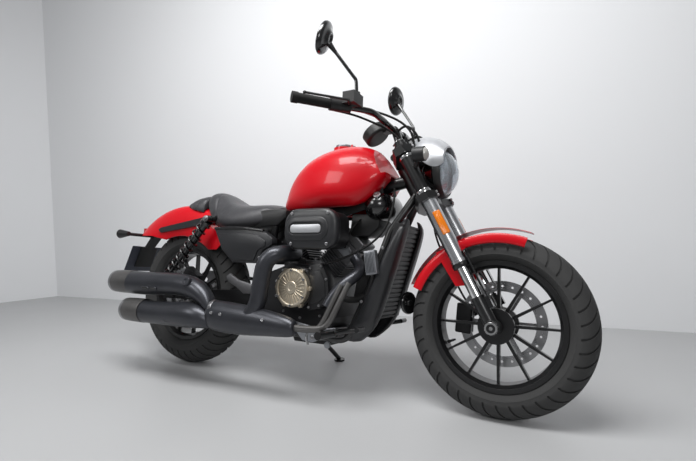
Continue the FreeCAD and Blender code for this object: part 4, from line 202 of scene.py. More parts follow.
def group(
    name: str, inputs: Iterable[tuple[str, str]], outputs: Iterable[tuple[str, str]]
) -> tuple[Bench, bpy.types.Node, bpy.types.Node]:
    """Starts a shader node group.

    Args:
        name: its name.
        inputs: names and socket types of its inputs.
        outputs: names and socket types of its outputs.

    Returns:
        The group's bench, its input node and its output node.
    """
    tree = bpy.data.node_groups.new(name, "ShaderNodeTree")
    for label, kind in inputs:
        tree.interface.new_socket(label, in_out="INPUT", socket_type=kind)
    for label, kind in outputs:
        tree.interface.new_socket(label, in_out="OUTPUT", socket_type=kind)
    bench = Bench(tree)
    return bench, bench.node("NodeGroupInput"), bench.node("NodeGroupOutput")


NUMBER = "NodeSocketFloat"
VECTOR = "NodeSocketVector"


class Grain(Enum):
    """The fine relief of a surface."""

    CAST = "sand-cast metal"
    MOULDED = "etched moulded plastic"
    BRUSHED = "metal brushed one way"
    SMOOTH = "lacquer with a slow ripple"
    HIDE = "grained covering with creases"
    RUBBER = "moulded rubber"


@lru_cache(maxsize=None)
def grain_group(grain: Grain) -> bpy.types.NodeTree:
    """Makes the node group of a grain: Height for relief, and Mottle for slow change.

    Args:
        grain: which grain.

    Returns:
        The node group.
    """
    bench, given, out = group(
        f"grain_{grain.name.lower()}",
        [("Vector", VECTOR), ("Scale", NUMBER)],
        [("Height", NUMBER), ("Mottle", NUMBER)],
    )
    place = given.outputs["Vector"]
    scale = given.outputs["Scale"]
    if grain is Grain.BRUSHED:
        stretched = bench.node("ShaderNodeMapping", {"Vector": place, "Scale": (0.03, 1.0, 1.0)})
        height = bench.noise(stretched.outputs[0], scale, 6.0, 0.7)
    elif grain is Grain.HIDE:
        bent = bench.node("ShaderNodeTexNoise", {"Vector": place, "Scale": scale, "Detail": 2.0})
        shifted = bench.node("ShaderNodeVectorMath", operation="MULTIPLY_ADD")
        bench.feed(shifted.inputs[0], bent.outputs[1])
        bench.feed(shifted.inputs[1], (0.002, 0.002, 0.002))
        bench.feed(shifted.inputs[2], place)
        cells = bench.node(
            "ShaderNodeTexVoronoi",
            {"Vector": shifted.outputs[0], "Scale": scale},
            feature="DISTANCE_TO_EDGE",
        )
        crease = bench.spread(cells.outputs[0], 0.0, 0.16)
        swell = bench.spread(bench.noise(place, scale, 3.0), 0.2, 0.8, 0.6, 1.0)
        height = bench.sum("MULTIPLY", crease, swell)
    elif grain is Grain.SMOOTH:
        height = bench.noise(place, scale, 1.0, 0.4)
    elif grain is Grain.MOULDED:
        pits = bench.node("ShaderNodeTexVoronoi", {"Vector": place, "Scale": scale}, feature="SMOOTH_F1")
        height = bench.sum("ADD", pits.outputs[0], bench.noise(place, scale, 2.0))
    else:
        height = bench.noise(place, scale, 8.0 if grain is Grain.CAST else 3.0, 0.65)
    coarse = bench.noise(place, bench.sum("MULTIPLY", scale, 0.02), 5.0, 0.6)
    bench.feed(out.inputs["Height"], height)
    bench.feed(out.inputs["Mottle"], bench.spread(coarse, 0.3, 0.7))
    return bench.tree


@lru_cache(maxsize=None)
def edge_group() -> bpy.types.NodeTree:
    """Makes the node group that rounds edges in the light and masks where they rub bare."""
    bench, given, out = group(
        "rounded_edge",
        [("Vector", VECTOR), ("Radius", NUMBER)],
        [("Normal", VECTOR), ("Rub", NUMBER)],
    )
    rounded = bench.node("ShaderNodeBevel", {"Radius": given.outputs["Radius"]}, samples=4)
    surface = bench.node("ShaderNodeNewGeometry")
    facing = bench.node("ShaderNodeVectorMath", operation="DOT_PRODUCT")
    bench.feed(facing.inputs[0], rounded.outputs[0])
    bench.feed(facing.inputs[1], surface.outputs["Normal"])
    turned = bench.spread(facing.outputs["Value"], 0.99, 0.86)
    broken = bench.spread(bench.noise(given.outputs["Vector"], 90.0, 6.0, 0.7), 0.45, 0.62)
    bench.feed(out.inputs["Normal"], rounded.outputs[0])
    bench.feed(out.inputs["Rub"], bench.sum("MULTIPLY", turned, broken))
    return bench.tree


@dataclass(frozen=True)
class Finish:
    """A surface as a painter or moulder would give it, with its grain, its mottling and its rubbed edges."""

    name: str
    colour: Colour
    roughness: float
    metallic: float = 0.0
    coat: float = 0.0
    coat_roughness: float = 0.04
    grain: Grain = Grain.CAST
    grain_size: float = 0.0025
    grain_depth: float = 0.00008
    mottle: float = 0.10
    rubbed: Colour | None = None
    rub: float = 0.25
    edge: float = 0.0012
    sheen: float = 0.0
    specular: float = 0.5

    def place(self, bench: Bench) -> bpy.types.NodeSocket:
        """Gives the coordinates that the grain follows."""
        return bench.node("ShaderNodeTexCoord").outputs["Object"]

    def material(self) -> bpy.types.Material:
        """Makes the material once, and gives it again when it is asked for again."""
        known = bpy.data.materials.get(self.name)
        if known:
            return known
        made = bpy.data.materials.new(self.name)
        made.use_nodes = True
        made.node_tree.nodes.clear()
        bench = Bench(made.node_tree)
        place = self.place(bench)
        grain = bench.node("ShaderNodeGroup", node_tree=grain_group(self.grain))
        bench.feed(grain.inputs["Vector"], place)
        bench.feed(grain.inputs["Scale"], 1.0 / self.grain_size)
        edge = bench.node("ShaderNodeGroup", node_tree=edge_group())
        bench.feed(edge.inputs["Vector"], place)
        bench.feed(edge.inputs["Radius"], self.edge)
        deep = tuple(channel * (1.0 - self.mottle) for channel in self.colour)
        pale = tuple(min(1.0, channel * (1.0 + self.mottle)) for channel in self.colour)
        colour = bench.mix(grain.outputs["Mottle"], deep, pale)
        if self.rubbed:
            colour = bench.mix(bench.sum("MULTIPLY", edge.outputs["Rub"], self.rub), colour, self.rubbed)
        low = max(0.02, self.roughness * (1.0 - self.mottle))
        high = min(1.0, self.roughness * (1.0 + self.mottle))
        rounded = edge.outputs["Normal"]
        relief = bench.node(
            "ShaderNodeBump",
            {"Height": grain.outputs["Height"], "Distance": self.grain_depth, "Normal": rounded},
        )
        wanted = {
            "Base Color": colour,
            "Metallic": self.metallic,
            "Roughness": bench.spread(grain.outputs["Mottle"], 0.0, 1.0, low, high),
            "Normal": relief.outputs[0],
            "Coat Weight": self.coat,
            "Coat Roughness": self.coat_roughness,
            "Sheen Weight": self.sheen,
            "Specular IOR Level": self.specular,
        }
        shader = bench.node("ShaderNodeBsdfPrincipled", wanted)
        if self.coat:
            bench.feed(shader.inputs["Coat Normal"], rounded)
        self.close(bench, shader)
        return made

    def close(self, bench: Bench, shader: bpy.types.Node) -> None:
        """Joins the shader to the material's output."""
        bench.node("ShaderNodeOutputMaterial", {"Surface": shader.outputs[0]})


@dataclass(frozen=True)
class Glass(Finish):
    """A clear or tinted lens with a thin, slightly uneven skin."""

    roughness: float = 0.03
    clearness: float = 1.0

    def close(self, bench: Bench, shader: bpy.types.Node) -> None:
        """Lets the light through, and joins the shader to the output."""
        shader.inputs["Transmission Weight"].default_value = self.clearness
        shader.inputs["IOR"].default_value = 1.46
        super().close(bench, shader)


@dataclass(frozen=True)
class Turned(Finish):
    """Metal turned or ground in rings about an axle."""

    centre: tuple[float, float, float] = (0.0, 0.0, 0.0)

    def place(self, bench: Bench) -> bpy.types.NodeSocket:
        """Gives the distance from the axle as the coordinate, so that the grain runs in rings."""
        here = bench.node("ShaderNodeTexCoord").outputs["Object"]
        centred = bench.node(
            "ShaderNodeMapping",
            {"Vector": here, "Location": self.centre, "Rotation": (LEAN, 0.0, 0.0)},
            vector_type="TEXTURE",
        )
        parts = bench.node("ShaderNodeSeparateXYZ", {"Vector": centred.outputs[0]})
        squares = [bench.sum("POWER", parts.outputs[index], 2.0) for index in (0, 2)]
        radius = bench.sum("SQRT", bench.sum("ADD", *squares))
        return bench.node("ShaderNodeCombineXYZ", {"X": parts.outputs[1], "Y": radius}).outputs[0]


STEEL_RUB: Colour = (0.42, 0.42, 0.43)

RED_LACQUER = Finish(
    "red_lacquer", (0.56, 0.0, 0.007), 0.36, coat=0.35, coat_roughness=0.03,
    grain=Grain.SMOOTH, grain_size=0.012, grain_depth=0.00003, mottle=0.04, edge=0.0016, specular=0.25,
)
BLACK_ENAMEL = Finish(
    "black_enamel", (0.0045, 0.0045, 0.005), 0.34, coat=0.3, coat_roughness=0.15,
    grain_depth=0.00005, rubbed=STEEL_RUB, rub=0.12,
)
GLOSS_BLACK = Finish(
    "gloss_black_enamel", (0.003, 0.003, 0.0035), 0.22, coat=0.9, coat_roughness=0.05,
    grain=Grain.SMOOTH, grain_size=0.008, grain_depth=0.00003, mottle=0.08,
)
WHEEL_BLACK = Finish(
    "satin_wheel_black", (0.005, 0.005, 0.0055), 0.33, coat=0.25, coat_roughness=0.2,
    grain_size=0.0015, grain_depth=0.00006, rubbed=STEEL_RUB, rub=0.08, edge=0.0018,
)
BLACK_PLASTIC = Finish(
    "moulded_black_plastic", (0.008, 0.008, 0.0085), 0.46,
    grain=Grain.MOULDED, grain_size=0.0009, grain_depth=0.00006, mottle=0.12, edge=0.0010,
)
DARK_GREY = Finish(
    "satin_dark_grey", (0.014, 0.0145, 0.0165), 0.40, coat=0.15, coat_roughness=0.3,
    grain=Grain.MOULDED, grain_size=0.0008, grain_depth=0.00005, mottle=0.08, edge=0.0014,
)
ENGINE_BLACK = Finish(
    "engine_black_coating", (0.008, 0.008, 0.009), 0.42, grain_size=0.0018, grain_depth=0.00014,
    mottle=0.15, rubbed=STEEL_RUB, rub=0.18, edge=0.0012,
)
CAST_SILVER = Finish(
    "bead_blasted_casting", (0.30, 0.31, 0.33), 0.42, metallic=0.85, grain_size=0.0014,
    grain_depth=0.00010, mottle=0.12, edge=0.0012,
)
BRIGHT_ALLOY = Finish(
    "bright_anodised_alloy", (0.62, 0.63, 0.65), 0.26, metallic=1.0, grain=Grain.BRUSHED,
    grain_size=0.0016, grain_depth=0.00002, mottle=0.06, edge=0.0010,
)
BRONZE = Finish(
    "champagne_bronze", (0.60, 0.53, 0.42), 0.32, metallic=0.75, grain_size=0.0012,
    grain_depth=0.00006, mottle=0.08, edge=0.0012,
)
GUNMETAL = Finish(
    "gunmetal_coating", (0.048, 0.050, 0.058), 0.33, metallic=0.6, coat=0.1, coat_roughness=0.3,
    grain_size=0.0010, grain_depth=0.00006, mottle=0.10, edge=0.0015,
)
CHROME = Finish(
    "polished_chrome", (0.72, 0.73, 0.75), 0.08, metallic=1.0, grain=Grain.SMOOTH,
    grain_size=0.010, grain_depth=0.00001, mottle=0.10, edge=0.0008,
)
STEEL = Finish(
    "zinc_plated_steel", (0.34, 0.34, 0.35), 0.32, metallic=0.95, grain=Grain.BRUSHED,
    grain_size=0.0012, grain_depth=0.00002, mottle=0.12, edge=0.0008,
)
RUBBER = Finish(
    "moulded_rubber", (0.006, 0.006, 0.006), 0.72, grain=Grain.RUBBER, grain_size=0.0008,
    grain_depth=0.00008, mottle=0.12, edge=0.0012, specular=0.35,
)
TYRE_RUBBER = Finish(
    "tyre_rubber", (0.003, 0.003, 0.0035), 0.50, grain=Grain.RUBBER, grain_size=0.0012,
    grain_depth=0.00012, mottle=0.18, edge=0.0010, specular=0.2,
)
SEAT_HIDE = Finish(
    "seat_covering", (0.034, 0.034, 0.038), 0.40, grain=Grain.HIDE, grain_size=0.0032,
    grain_depth=0.00020, mottle=0.12, edge=0.0012, sheen=0.05,
)
CLEAR_LENS = Glass(
    "clear_lamp_lens", (0.82, 0.87, 0.92), clearness=0.80, grain=Grain.SMOOTH, grain_size=0.02,
    grain_depth=0.00002, mottle=0.02, edge=0.0006,
)
RED_LENS = Glass(
    "red_lamp_lens", (0.55, 0.01, 0.012), clearness=0.35, grain=Grain.SMOOTH, grain_size=0.006,
    grain_depth=0.0001, mottle=0.05, edge=0.0006,
)
PALE_LENS = Glass(
    "pale_indicator_lens", (0.80, 0.78, 0.74), clearness=0.45, grain=Grain.SMOOTH, grain_size=0.004,
    grain_depth=0.0002, mottle=0.04, edge=0.0006,
)
AMBER_LENS = Glass(
    "amber_reflector", (0.85, 0.22, 0.01), clearness=0.25, grain=Grain.MOULDED, grain_size=0.0025,
    grain_depth=0.0003, mottle=0.06, edge=0.0006,
)
METER_GLASS = Finish(
    "meter_face_glass", (0.004, 0.004, 0.005), 0.08, coat=1.0, grain=Grain.SMOOTH, grain_size=0.02,
    grain_depth=0.00001, mottle=0.05, edge=0.0006,
)
TIP_GREY = Finish(
    "warm_grey_muffler_tip", (0.115, 0.112, 0.110), 0.38, metallic=0.6, grain_size=0.0010,
    grain_depth=0.00006, mottle=0.10, edge=0.0012,
)
SATIN_ALLOY = Finish(
    "satin_blank_alloy", (0.55, 0.56, 0.58), 0.42, metallic=0.7, grain=Grain.BRUSHED,
    grain_size=0.0012, grain_depth=0.00003, mottle=0.08, edge=0.0008,
)
ENGINE_GREY = Finish(
    "grey_cast_cylinder", (0.13, 0.13, 0.135), 0.40, metallic=0.6, grain_size=0.0016,
    grain_depth=0.00012, mottle=0.15, edge=0.0010,
)
BLANK_PLATE = Finish(
    "blank_number_plate", (0.050, 0.055, 0.075), 0.40, coat=0.3, grain=Grain.SMOOTH, grain_size=0.02,
    grain_depth=0.00002, mottle=0.05, edge=0.0012,
)


def disc_finish(node: str) -> Finish:
    """Gives the ground steel of a brake disc, in rings about its own middle.

    Args:
        node: the disc's node.

    Returns:
        The finish.
    """
    low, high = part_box(node)
    middle = tuple((low + high) / 2.0)
    return Turned(
        f"ground_{node}", (0.46, 0.46, 0.47), 0.28, metallic=1.0, grain=Grain.BRUSHED,
        grain_size=0.0010, grain_depth=0.00004, mottle=0.10, edge=0.0006, centre=middle,
    )


def node_finishes() -> dict[str, Finish]:
    """Gives each carried-over solid its finish, by node name."""
    groups: dict[Finish, str] = {
        RED_LACQUER: "fuel_tank front_fender rear_fender",
        BLACK_ENAMEL: (
            "fork_lugs frame swingarm foot_controls side_stand fork_clamps exhaust_headers fork_upper_tubes"
        ),
        GLOSS_BLACK: "fork_guards headlight_shell shock_absorbers shock_springs mirrors handlebar",
        WHEEL_BLACK: "front_rim rear_rim",
        BLACK_PLASTIC: "bar_controls plate_bracket front_indicators rear_indicators meter",
        DARK_GREY: "radiator_shroud side_covers air_cleaner_cover fender_struts",
        ENGINE_GREY: "front_cylinder",
        ENGINE_BLACK: "engine_case rear_cylinder air_cleaner radiator front_caliper rear_caliper",
        CAST_SILVER: "fuel_cap",
        SATIN_ALLOY: "headlight_cowl",
        BRIGHT_ALLOY: "fork_outer_tubes",
        BRONZE: "clutch_cover",
        GUNMETAL: "upper_muffler lower_muffler",
        CHROME: "fork_inner_tubes",
        STEEL: "drive_chain rear_sprocket",
        RUBBER: "grips",
        TYRE_RUBBER: "front_tyre rear_tyre",
        SEAT_HIDE: "rider_seat tail_pad",
        CLEAR_LENS: "headlight_lens",
        RED_LENS: "tail_lamp",
        BLANK_PLATE: "number_plate",
    }
    found = {node: finish for finish, nodes in groups.items() for node in nodes.split()}
    found.update((node, disc_finish(node)) for node in ("front_disc", "rear_disc"))
    return found


def dress_nodes() -> None:
    """Gives every carried-over solid its finish."""
    finishes = node_finishes()
    for node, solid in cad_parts.items():
        finish = finishes.get(node, BLACK_ENAMEL)
        if node not in finishes:
            log.warning("no finish is named for %s", node)
        made = finish.material()
        if not solid.material_slots:
            solid.data.materials.append(made)
        for slot in solid.material_slots:
            slot.material = made


def clear_selection() -> None:
    """Leaves edit mode and deselects everything."""
    if bpy.context.object and bpy.context.object.mode != "OBJECT":
        bpy.ops.object.mode_set(mode="OBJECT")
    bpy.ops.object.select_all(action="DESELECT")


class Body(Enum):
    """The bodies that pieces ride on."""

    CHASSIS = "chassis"
    STEERING = "steering"
    FRONT_WHEEL = "front_wheel"
    REAR_WHEEL = "rear_wheel"


class Slot(Enum):
    """The record's material slots, which new pieces' roles name."""

    BLACK_PAINT = "black_paint"
    BLACK_PLASTIC = "black_plastic"
    BRIGHT_ALUMINIUM = "bright_aluminium"
    BRONZE = "bronze_paint"
    CAST_ALUMINIUM = "cast_aluminium"
    DARK_GREY = "dark_grey_paint"
    GUNMETAL = "gunmetal"
    LAMP_LENS = "lamp_lens"
    CHROME = "polished_chrome"
    RUBBER = "rubber"
    SEAT = "seat_cover"
    STEEL = "steel"
    TYRE = "tyre_rubber"


@dataclass(frozen=True)
class Role:
    """What a piece rides on, the slot that it names, and its finish."""

    body: Body
    slot: Slot
    finish: Finish


CHASSIS_BLACK = Role(Body.CHASSIS, Slot.BLACK_PAINT, BLACK_ENAMEL)
CHASSIS_GLOSS = Role(Body.CHASSIS, Slot.BLACK_PAINT, GLOSS_BLACK)
CHASSIS_ENGINE = Role(Body.CHASSIS, Slot.BLACK_PAINT, ENGINE_BLACK)
CHASSIS_PLASTIC = Role(Body.CHASSIS, Slot.BLACK_PLASTIC, BLACK_PLASTIC)
CHASSIS_GREY = Role(Body.CHASSIS, Slot.DARK_GREY, DARK_GREY)
CHASSIS_STEEL = Role(Body.CHASSIS, Slot.STEEL, STEEL)
CHASSIS_CHROME = Role(Body.CHASSIS, Slot.CHROME, CHROME)
CHASSIS_SILVER = Role(Body.CHASSIS, Slot.CAST_ALUMINIUM, CAST_SILVER)
CHASSIS_CASTING = Role(Body.CHASSIS, Slot.CAST_ALUMINIUM, ENGINE_GREY)
CHASSIS_ALLOY = Role(Body.CHASSIS, Slot.BRIGHT_ALUMINIUM, SATIN_ALLOY)
CHASSIS_BRONZE = Role(Body.CHASSIS, Slot.BRONZE, BRONZE)
CHASSIS_COAT = Role(Body.CHASSIS, Slot.GUNMETAL, GUNMETAL)
CHASSIS_TIP = Role(Body.CHASSIS, Slot.GUNMETAL, TIP_GREY)
CHASSIS_HIDE = Role(Body.CHASSIS, Slot.SEAT, SEAT_HIDE)
CHASSIS_RUBBER = Role(Body.CHASSIS, Slot.RUBBER, RUBBER)
STEERING_BLACK = Role(Body.STEERING, Slot.BLACK_PAINT, BLACK_ENAMEL)
STEERING_GLOSS = Role(Body.STEERING, Slot.BLACK_PAINT, GLOSS_BLACK)
STEERING_PLASTIC = Role(Body.STEERING, Slot.BLACK_PLASTIC, BLACK_PLASTIC)
STEERING_METER = Role(Body.STEERING, Slot.BLACK_PLASTIC, METER_GLASS)
STEERING_STEEL = Role(Body.STEERING, Slot.STEEL, STEEL)
STEERING_CHROME = Role(Body.STEERING, Slot.CHROME, CHROME)
STEERING_RUBBER = Role(Body.STEERING, Slot.RUBBER, RUBBER)
STEERING_CLEAR = Role(Body.STEERING, Slot.LAMP_LENS, CLEAR_LENS)
STEERING_PALE = Role(Body.STEERING, Slot.LAMP_LENS, PALE_LENS)
STEERING_AMBER = Role(Body.STEERING, Slot.LAMP_LENS, AMBER_LENS)


def enter(select: str = "SELECT") -> None:
    """Goes into edit mode with everything selected, or nothing."""
    bpy.context.tool_settings.mesh_select_mode = (False, False, True)
    bpy.ops.object.mode_set(mode="EDIT")
    bpy.ops.mesh.select_all(action=select)


def leave() -> None:
    """Leaves edit mode."""
    bpy.ops.object.mode_set(mode="OBJECT")


def choose(made: bpy.types.Object, wanted: set[int]) -> None:
    """Goes into edit mode with only some faces selected.

    Args:
        made: the active object.
        wanted: the numbers of the faces to select.
    """
    mesh = made.data
    for parts in (mesh.vertices, mesh.edges):
        parts.foreach_set("select", [False] * len(parts))
    mesh.polygons.foreach_set("select", [face.index in wanted for face in mesh.polygons])
    bpy.context.tool_settings.mesh_select_mode = (False, False, True)
    bpy.ops.object.mode_set(mode="EDIT")


def weld(capped: bool = False) -> None:
    """Joins doubled corners, turns all faces outwards and leaves edit mode.

    Args:
        capped: whether open ends are closed first.
    """
    bpy.ops.mesh.select_all(action="SELECT")
    bpy.ops.mesh.remove_doubles(threshold=WELD_GAP)
    bpy.ops.mesh.delete_loose()
    bpy.ops.mesh.select_all(action="SELECT")
    if capped:
        bpy.ops.mesh.fill_holes(sides=0)
        bpy.ops.mesh.select_all(action="SELECT")
    bpy.ops.mesh.normals_make_consistent(inside=False)
    leave()


def modify(made: bpy.types.Object, kind: str, **settings: Any) -> bpy.types.Object:
    """Applies a modifier to an object for good.

    Args:
        made: the object.
        kind: the modifier's type.
        **settings: the modifier's own properties.

    Returns:
        The object.
    """
    bpy.context.view_layer.objects.active = made
    bpy.ops.object.modifier_add(type=kind)
    modifier = made.modifiers[-1]
    for key, value in settings.items():
        setattr(modifier, key, value)
    bpy.ops.object.modifier_apply(modifier=modifier.name)
    return made


def ring(points: Sequence[Sequence[float]], filled: bool = False) -> bpy.types.Object:
    """Makes one closed loop through points.

    Args:
        points: the loop's corners.
        filled: whether a face closes it.

    Returns:
        The new object.
    """
    clear_selection()
    fill = "NGON" if filled else "NOTHING"
    bpy.ops.mesh.primitive_circle_add(vertices=len(points), radius=1.0, fill_type=fill)
    made = bpy.context.object
    for vertex, point in zip(made.data.vertices, points):
        vertex.co = point
    return made


def spin(made: bpy.types.Object, steps: int, axis: Vector) -> None:
    """Turns an outline once about an axis through the origin."""
    enter()
    bpy.ops.mesh.spin(steps=steps, angle=math.tau, center=(0.0, 0.0, 0.0), axis=axis)
    weld()


def lathe(profile: Sequence[tuple[float, float]], steps: int = 40) -> bpy.types.Object:
    """Turns a closed profile about Z.

    Args:
        profile: corners as radius and height.
        steps: how many sides the round has.

    Returns:
        The new object.
    """
    made = ring([(radius, 0.0, height) for radius, height in profile])
    spin(made, steps, Z_AXIS)
    return made


def slab(corners: Sequence[tuple[float, float]], low: float, high: float, soften: float) -> bpy.types.Object:
    """Raises an outline into a plate with softened edges.

    Args:
        corners: the outline in X and Y.
        low: where its underside is along Z.
        high: where its top is.
        soften: how wide its edges' bevel is.

    Returns:
        The new object.
    """
    made = ring([(x, y, low) for x, y in corners], filled=True)
    enter()
    bpy.ops.mesh.extrude_region_move(TRANSFORM_OT_translate={"value": (0.0, 0.0, high - low)})
    weld()
    return bevel(made, soften)


def bevel(made: bpy.types.Object, width: float) -> bpy.types.Object:
    """Bevels an object's sharp edges for good."""
    return modify(made, "BEVEL", width=width, segments=2, limit_method="ANGLE", angle_limit=BEVELLED_ANGLE)


def oblong(length: float, width: float, corner: float, steps: int = 5) -> list[tuple[float, float]]:
    """Gives the outline of a rounded oblong about the origin.

    Args:
        length: its size along X.
        width: its size along Y.
        corner: the radius of its corners.
        steps: how many sides each corner has.

    Returns:
        Its corners in X and Y.
    """
    corners = []
    for index, (side, end) in enumerate(((1, 1), (-1, 1), (-1, -1), (1, -1))):
        middle = Vector((side * (length / 2.0 - corner), end * (width / 2.0 - corner)))
        for step in range(steps + 1):
            angle = math.pi / 2.0 * (index + step / steps)
            corners.append((middle.x + corner * math.cos(angle), middle.y + corner * math.sin(angle)))
    return corners


def pipe(points: Sequence[Sequence[float]], radius: float, sides: int = 12) -> bpy.types.Object:
    """Runs a round tube along a smooth line.

    Args:
        points: the line's control points, in millimetres.
        radius: the tube's radius, in metres.
        sides: how many sides it has.

    Returns:
        The tube as a mesh.
    """
    clear_selection()
    bpy.ops.curve.primitive_nurbs_path_add()
    line = bpy.context.object.data
    line.splines.clear()
    spline = line.splines.new("NURBS")
    spline.points.add(len(points) - 1)
    for spot, point in zip(spline.points, points):
        spot.co = (*mm(*point), 1.0)
    spline.order_u = 3
    spline.use_endpoint_u = True
    spline.resolution_u = 8
    line.dimensions = "3D"
    line.bevel_depth = radius
    line.bevel_resolution = max(1, sides // 4 - 1)
    line.use_fill_caps = True
    bpy.ops.object.convert(target="MESH")
    enter()
    weld()
    return bpy.context.object


def loft(rings: Sequence[Sequence[Sequence[float]]], capped: bool = True) -> bpy.types.Object:
    """Lays a skin over a row of loops with the same number of corners.

    Args:
        rings: the loops, in order.
        capped: whether its two ends are closed.

    Returns:
        The new object.
    """
    clear_selection()
    count = len(rings[0])
    bpy.ops.mesh.primitive_grid_add(x_subdivisions=count, y_subdivisions=len(rings) - 1, size=1.0)
    made = bpy.context.object
    for vertex in made.data.vertices:
        row, spot = divmod(vertex.index, count + 1)
        vertex.co = rings[row][spot % count]
    enter()
    weld(capped)
    return made


def smoothed(made: bpy.types.Object) -> bpy.types.Object:
    """Subdivides an object's surface once, for good."""
    return modify(made, "SUBSURF", levels=1, render_levels=1)


def settle(
    made: bpy.types.Object, name: str, place: Matrix, role: Role, angle: float = CRISP
) -> bpy.types.Object:
    """Puts a finished piece in place, gives it its finish and lets it ride on its body.

    Args:
        made: the piece, made about the origin.
        name: its name.
        place: where it goes.
        role: its body, slot and finish.
        angle: the sharpest angle, in degrees, that is shaded smooth.

    Returns:
        The piece.
    """
    clear_selection()
    made.name = name
    made.data.name = name
    made.data.transform(place)
    made.data.materials.clear()
    made.data.materials.append(role.finish.material())
    made.select_set(True)
    bpy.context.view_layer.objects.active = made
    bpy.ops.object.shade_smooth_by_angle(angle=math.radians(angle))
    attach(made, role.body.value)
    log.info("%s: %d faces", name, len(made.data.polygons))
    return made


def repeat(
    model: bpy.types.Object, name: str, places: Iterable[Matrix], role: Role, angle: float = CRISP
) -> None:
    """Copies one model, each copy with its own mesh, to several places, and takes the model away.

    Args:
        model: the model about the origin.
        name: the copies' name, which gets a number.
        places: where they go.
        role: their body, slot and finish.
        angle: the sharpest angle, in degrees, that is shaded smooth.
    """
    for index, place in enumerate(places, 1):
        copy = model.copy()
        copy.data = model.data.copy()
        bpy.context.scene.collection.objects.link(copy)
        settle(copy, f"{name}_{index}", place, role, angle)
    bpy.data.objects.remove(model)


def turned(
    name: str,
    profile: Sequence[tuple[float, float]],
    place: Matrix,
    role: Role,
    steps: int = 40,
    angle: float = CRISP,
) -> bpy.types.Object:
    """Makes one round piece and puts it in place.

    Args:
        name: its name.
        profile: its corners as radius and height.
        place: where it goes.
        role: its body, slot and finish.
        steps: how many sides the round has.
        angle: the sharpest angle, in degrees, that is shaded smooth.

    Returns:
        The piece.
    """
    return settle(lathe(profile, steps), name, place, role, angle)


def run(
    name: str,
    points: Sequence[Sequence[float]],
    radius: float,
    role: Role,
    sides: int = 12,
    base: Matrix = UPRIGHT,
) -> None:
    """Makes one tube, rod or lead and puts it in place.

    Args:
        name: its name.
        points: its line's control points, in millimetres.
        radius: its radius, in metres.
        role: its body, slot and finish.
        sides: how many sides it has.
        base: the frame that its points are in.
    """
    settle(pipe(points, radius, sides), name, base, role, ROUND)


def spots(points: Iterable[Sequence[float]], axis: Vector) -> list[Matrix]:
    """Gives places on the upright machine that all face one way.

    Args:
        points: where they are, in millimetres.
        axis: where they face.

    Returns:
        The places.
    """
    return [UPRIGHT @ aimed(mm(*point), axis) for point in points]


def facing(turn: float) -> Matrix:
    """Stands a plate, made in X and Y, up along the machine.

    Args:
        turn: -1 if its top faces right, or 1 if it faces left.

    Returns:
        The matrix, which takes X to the machine's X and Y to its Z.
    """
    rows = ((1.0, 0.0, 0.0, 0.0), (0.0, 0.0, turn, 0.0), (0.0, 1.0, 0.0, 0.0), (0.0, 0.0, 0.0, 1.0))
    return UPRIGHT @ Matrix(rows)


def scaled(
    corners: Iterable[tuple[float, float]], middle: tuple[float, float], wide: float, tall: float
) -> list[tuple[float, float]]:
    """Scales an outline about a point.

    Args:
        corners: the outline in X and Y.
        middle: the point.
        wide: the share along X.
        tall: the share along Y.

    Returns:
        The new outline.
    """
    return [(middle[0] + (x - middle[0]) * wide, middle[1] + (y - middle[1]) * tall) for x, y in corners]


class Head(Enum):
    """The kinds of screw heads, with the height and the crown's or washer's reach as shares of a radius."""

    HEX = (0.8, 1.35)
    SOCKET = (0.9, 0.86)
    DOME = (0.45, 0.62)


def screw(head: Head, radius: float) -> bpy.types.Object:
    """Makes one screw head that stands on the origin, facing up Z.

    Args:
        head: its kind.
        radius: its radius.

    Returns:
        The new object.
    """
    sink = radius * 0.4
    height, crown = (radius * share for share in head.value)
    if head is Head.HEX:
        thick = radius * 0.16
        made = lathe([(0.0, -sink), (crown, -sink), (crown, thick), (0.0, thick)], 20)
        enter("DESELECT")
        bpy.ops.mesh.primitive_cylinder_add(
            vertices=6, radius=radius, depth=height, location=(0.0, 0.0, radius * 0.5)
        )
        leave()
        return bevel(made, radius * 0.09)
    socket = radius * 0.40
    made = lathe([
        (0.0, -sink), (radius, -sink), (radius, height * 0.7), (crown, height), (radius * 0.46, height),
        (socket, height * 0.86), (socket, height * 0.2), (0.0, height * 0.2),
    ], 24)
    sixth = math.pi / 3.0
    for vertex in made.data.vertices:
        if 0.1 * radius < math.hypot(vertex.co.x, vertex.co.y) < 0.43 * radius:
            angle = math.atan2(vertex.co.y, vertex.co.x) % sixth - sixth / 2.0
            grow = math.cos(sixth / 2.0) / math.cos(angle)
            vertex.co.x *= grow
            vertex.co.y *= grow
    return made


def around(
    centre: Sequence[float], axis: Sequence[float], radius: float, count: int, start: float = 0.0
) -> list[Matrix]:
    """Gives places evenly about an axis on the upright machine, each facing along it.

    Args:
        centre: the middle of the ring.
        axis: its axis.
        radius: its radius.
        count: how many there are.
        start: the first one's angle, in degrees.

    Returns:
        The places.
    """
    middle = UPRIGHT @ aimed(centre, axis)
    out = Matrix.Translation((radius, 0.0, 0.0))
    turns = [math.radians(start) + math.tau * index / count for index in range(count)]
    return [middle @ Matrix.Rotation(turn, 4, "Z") @ out for turn in turns]


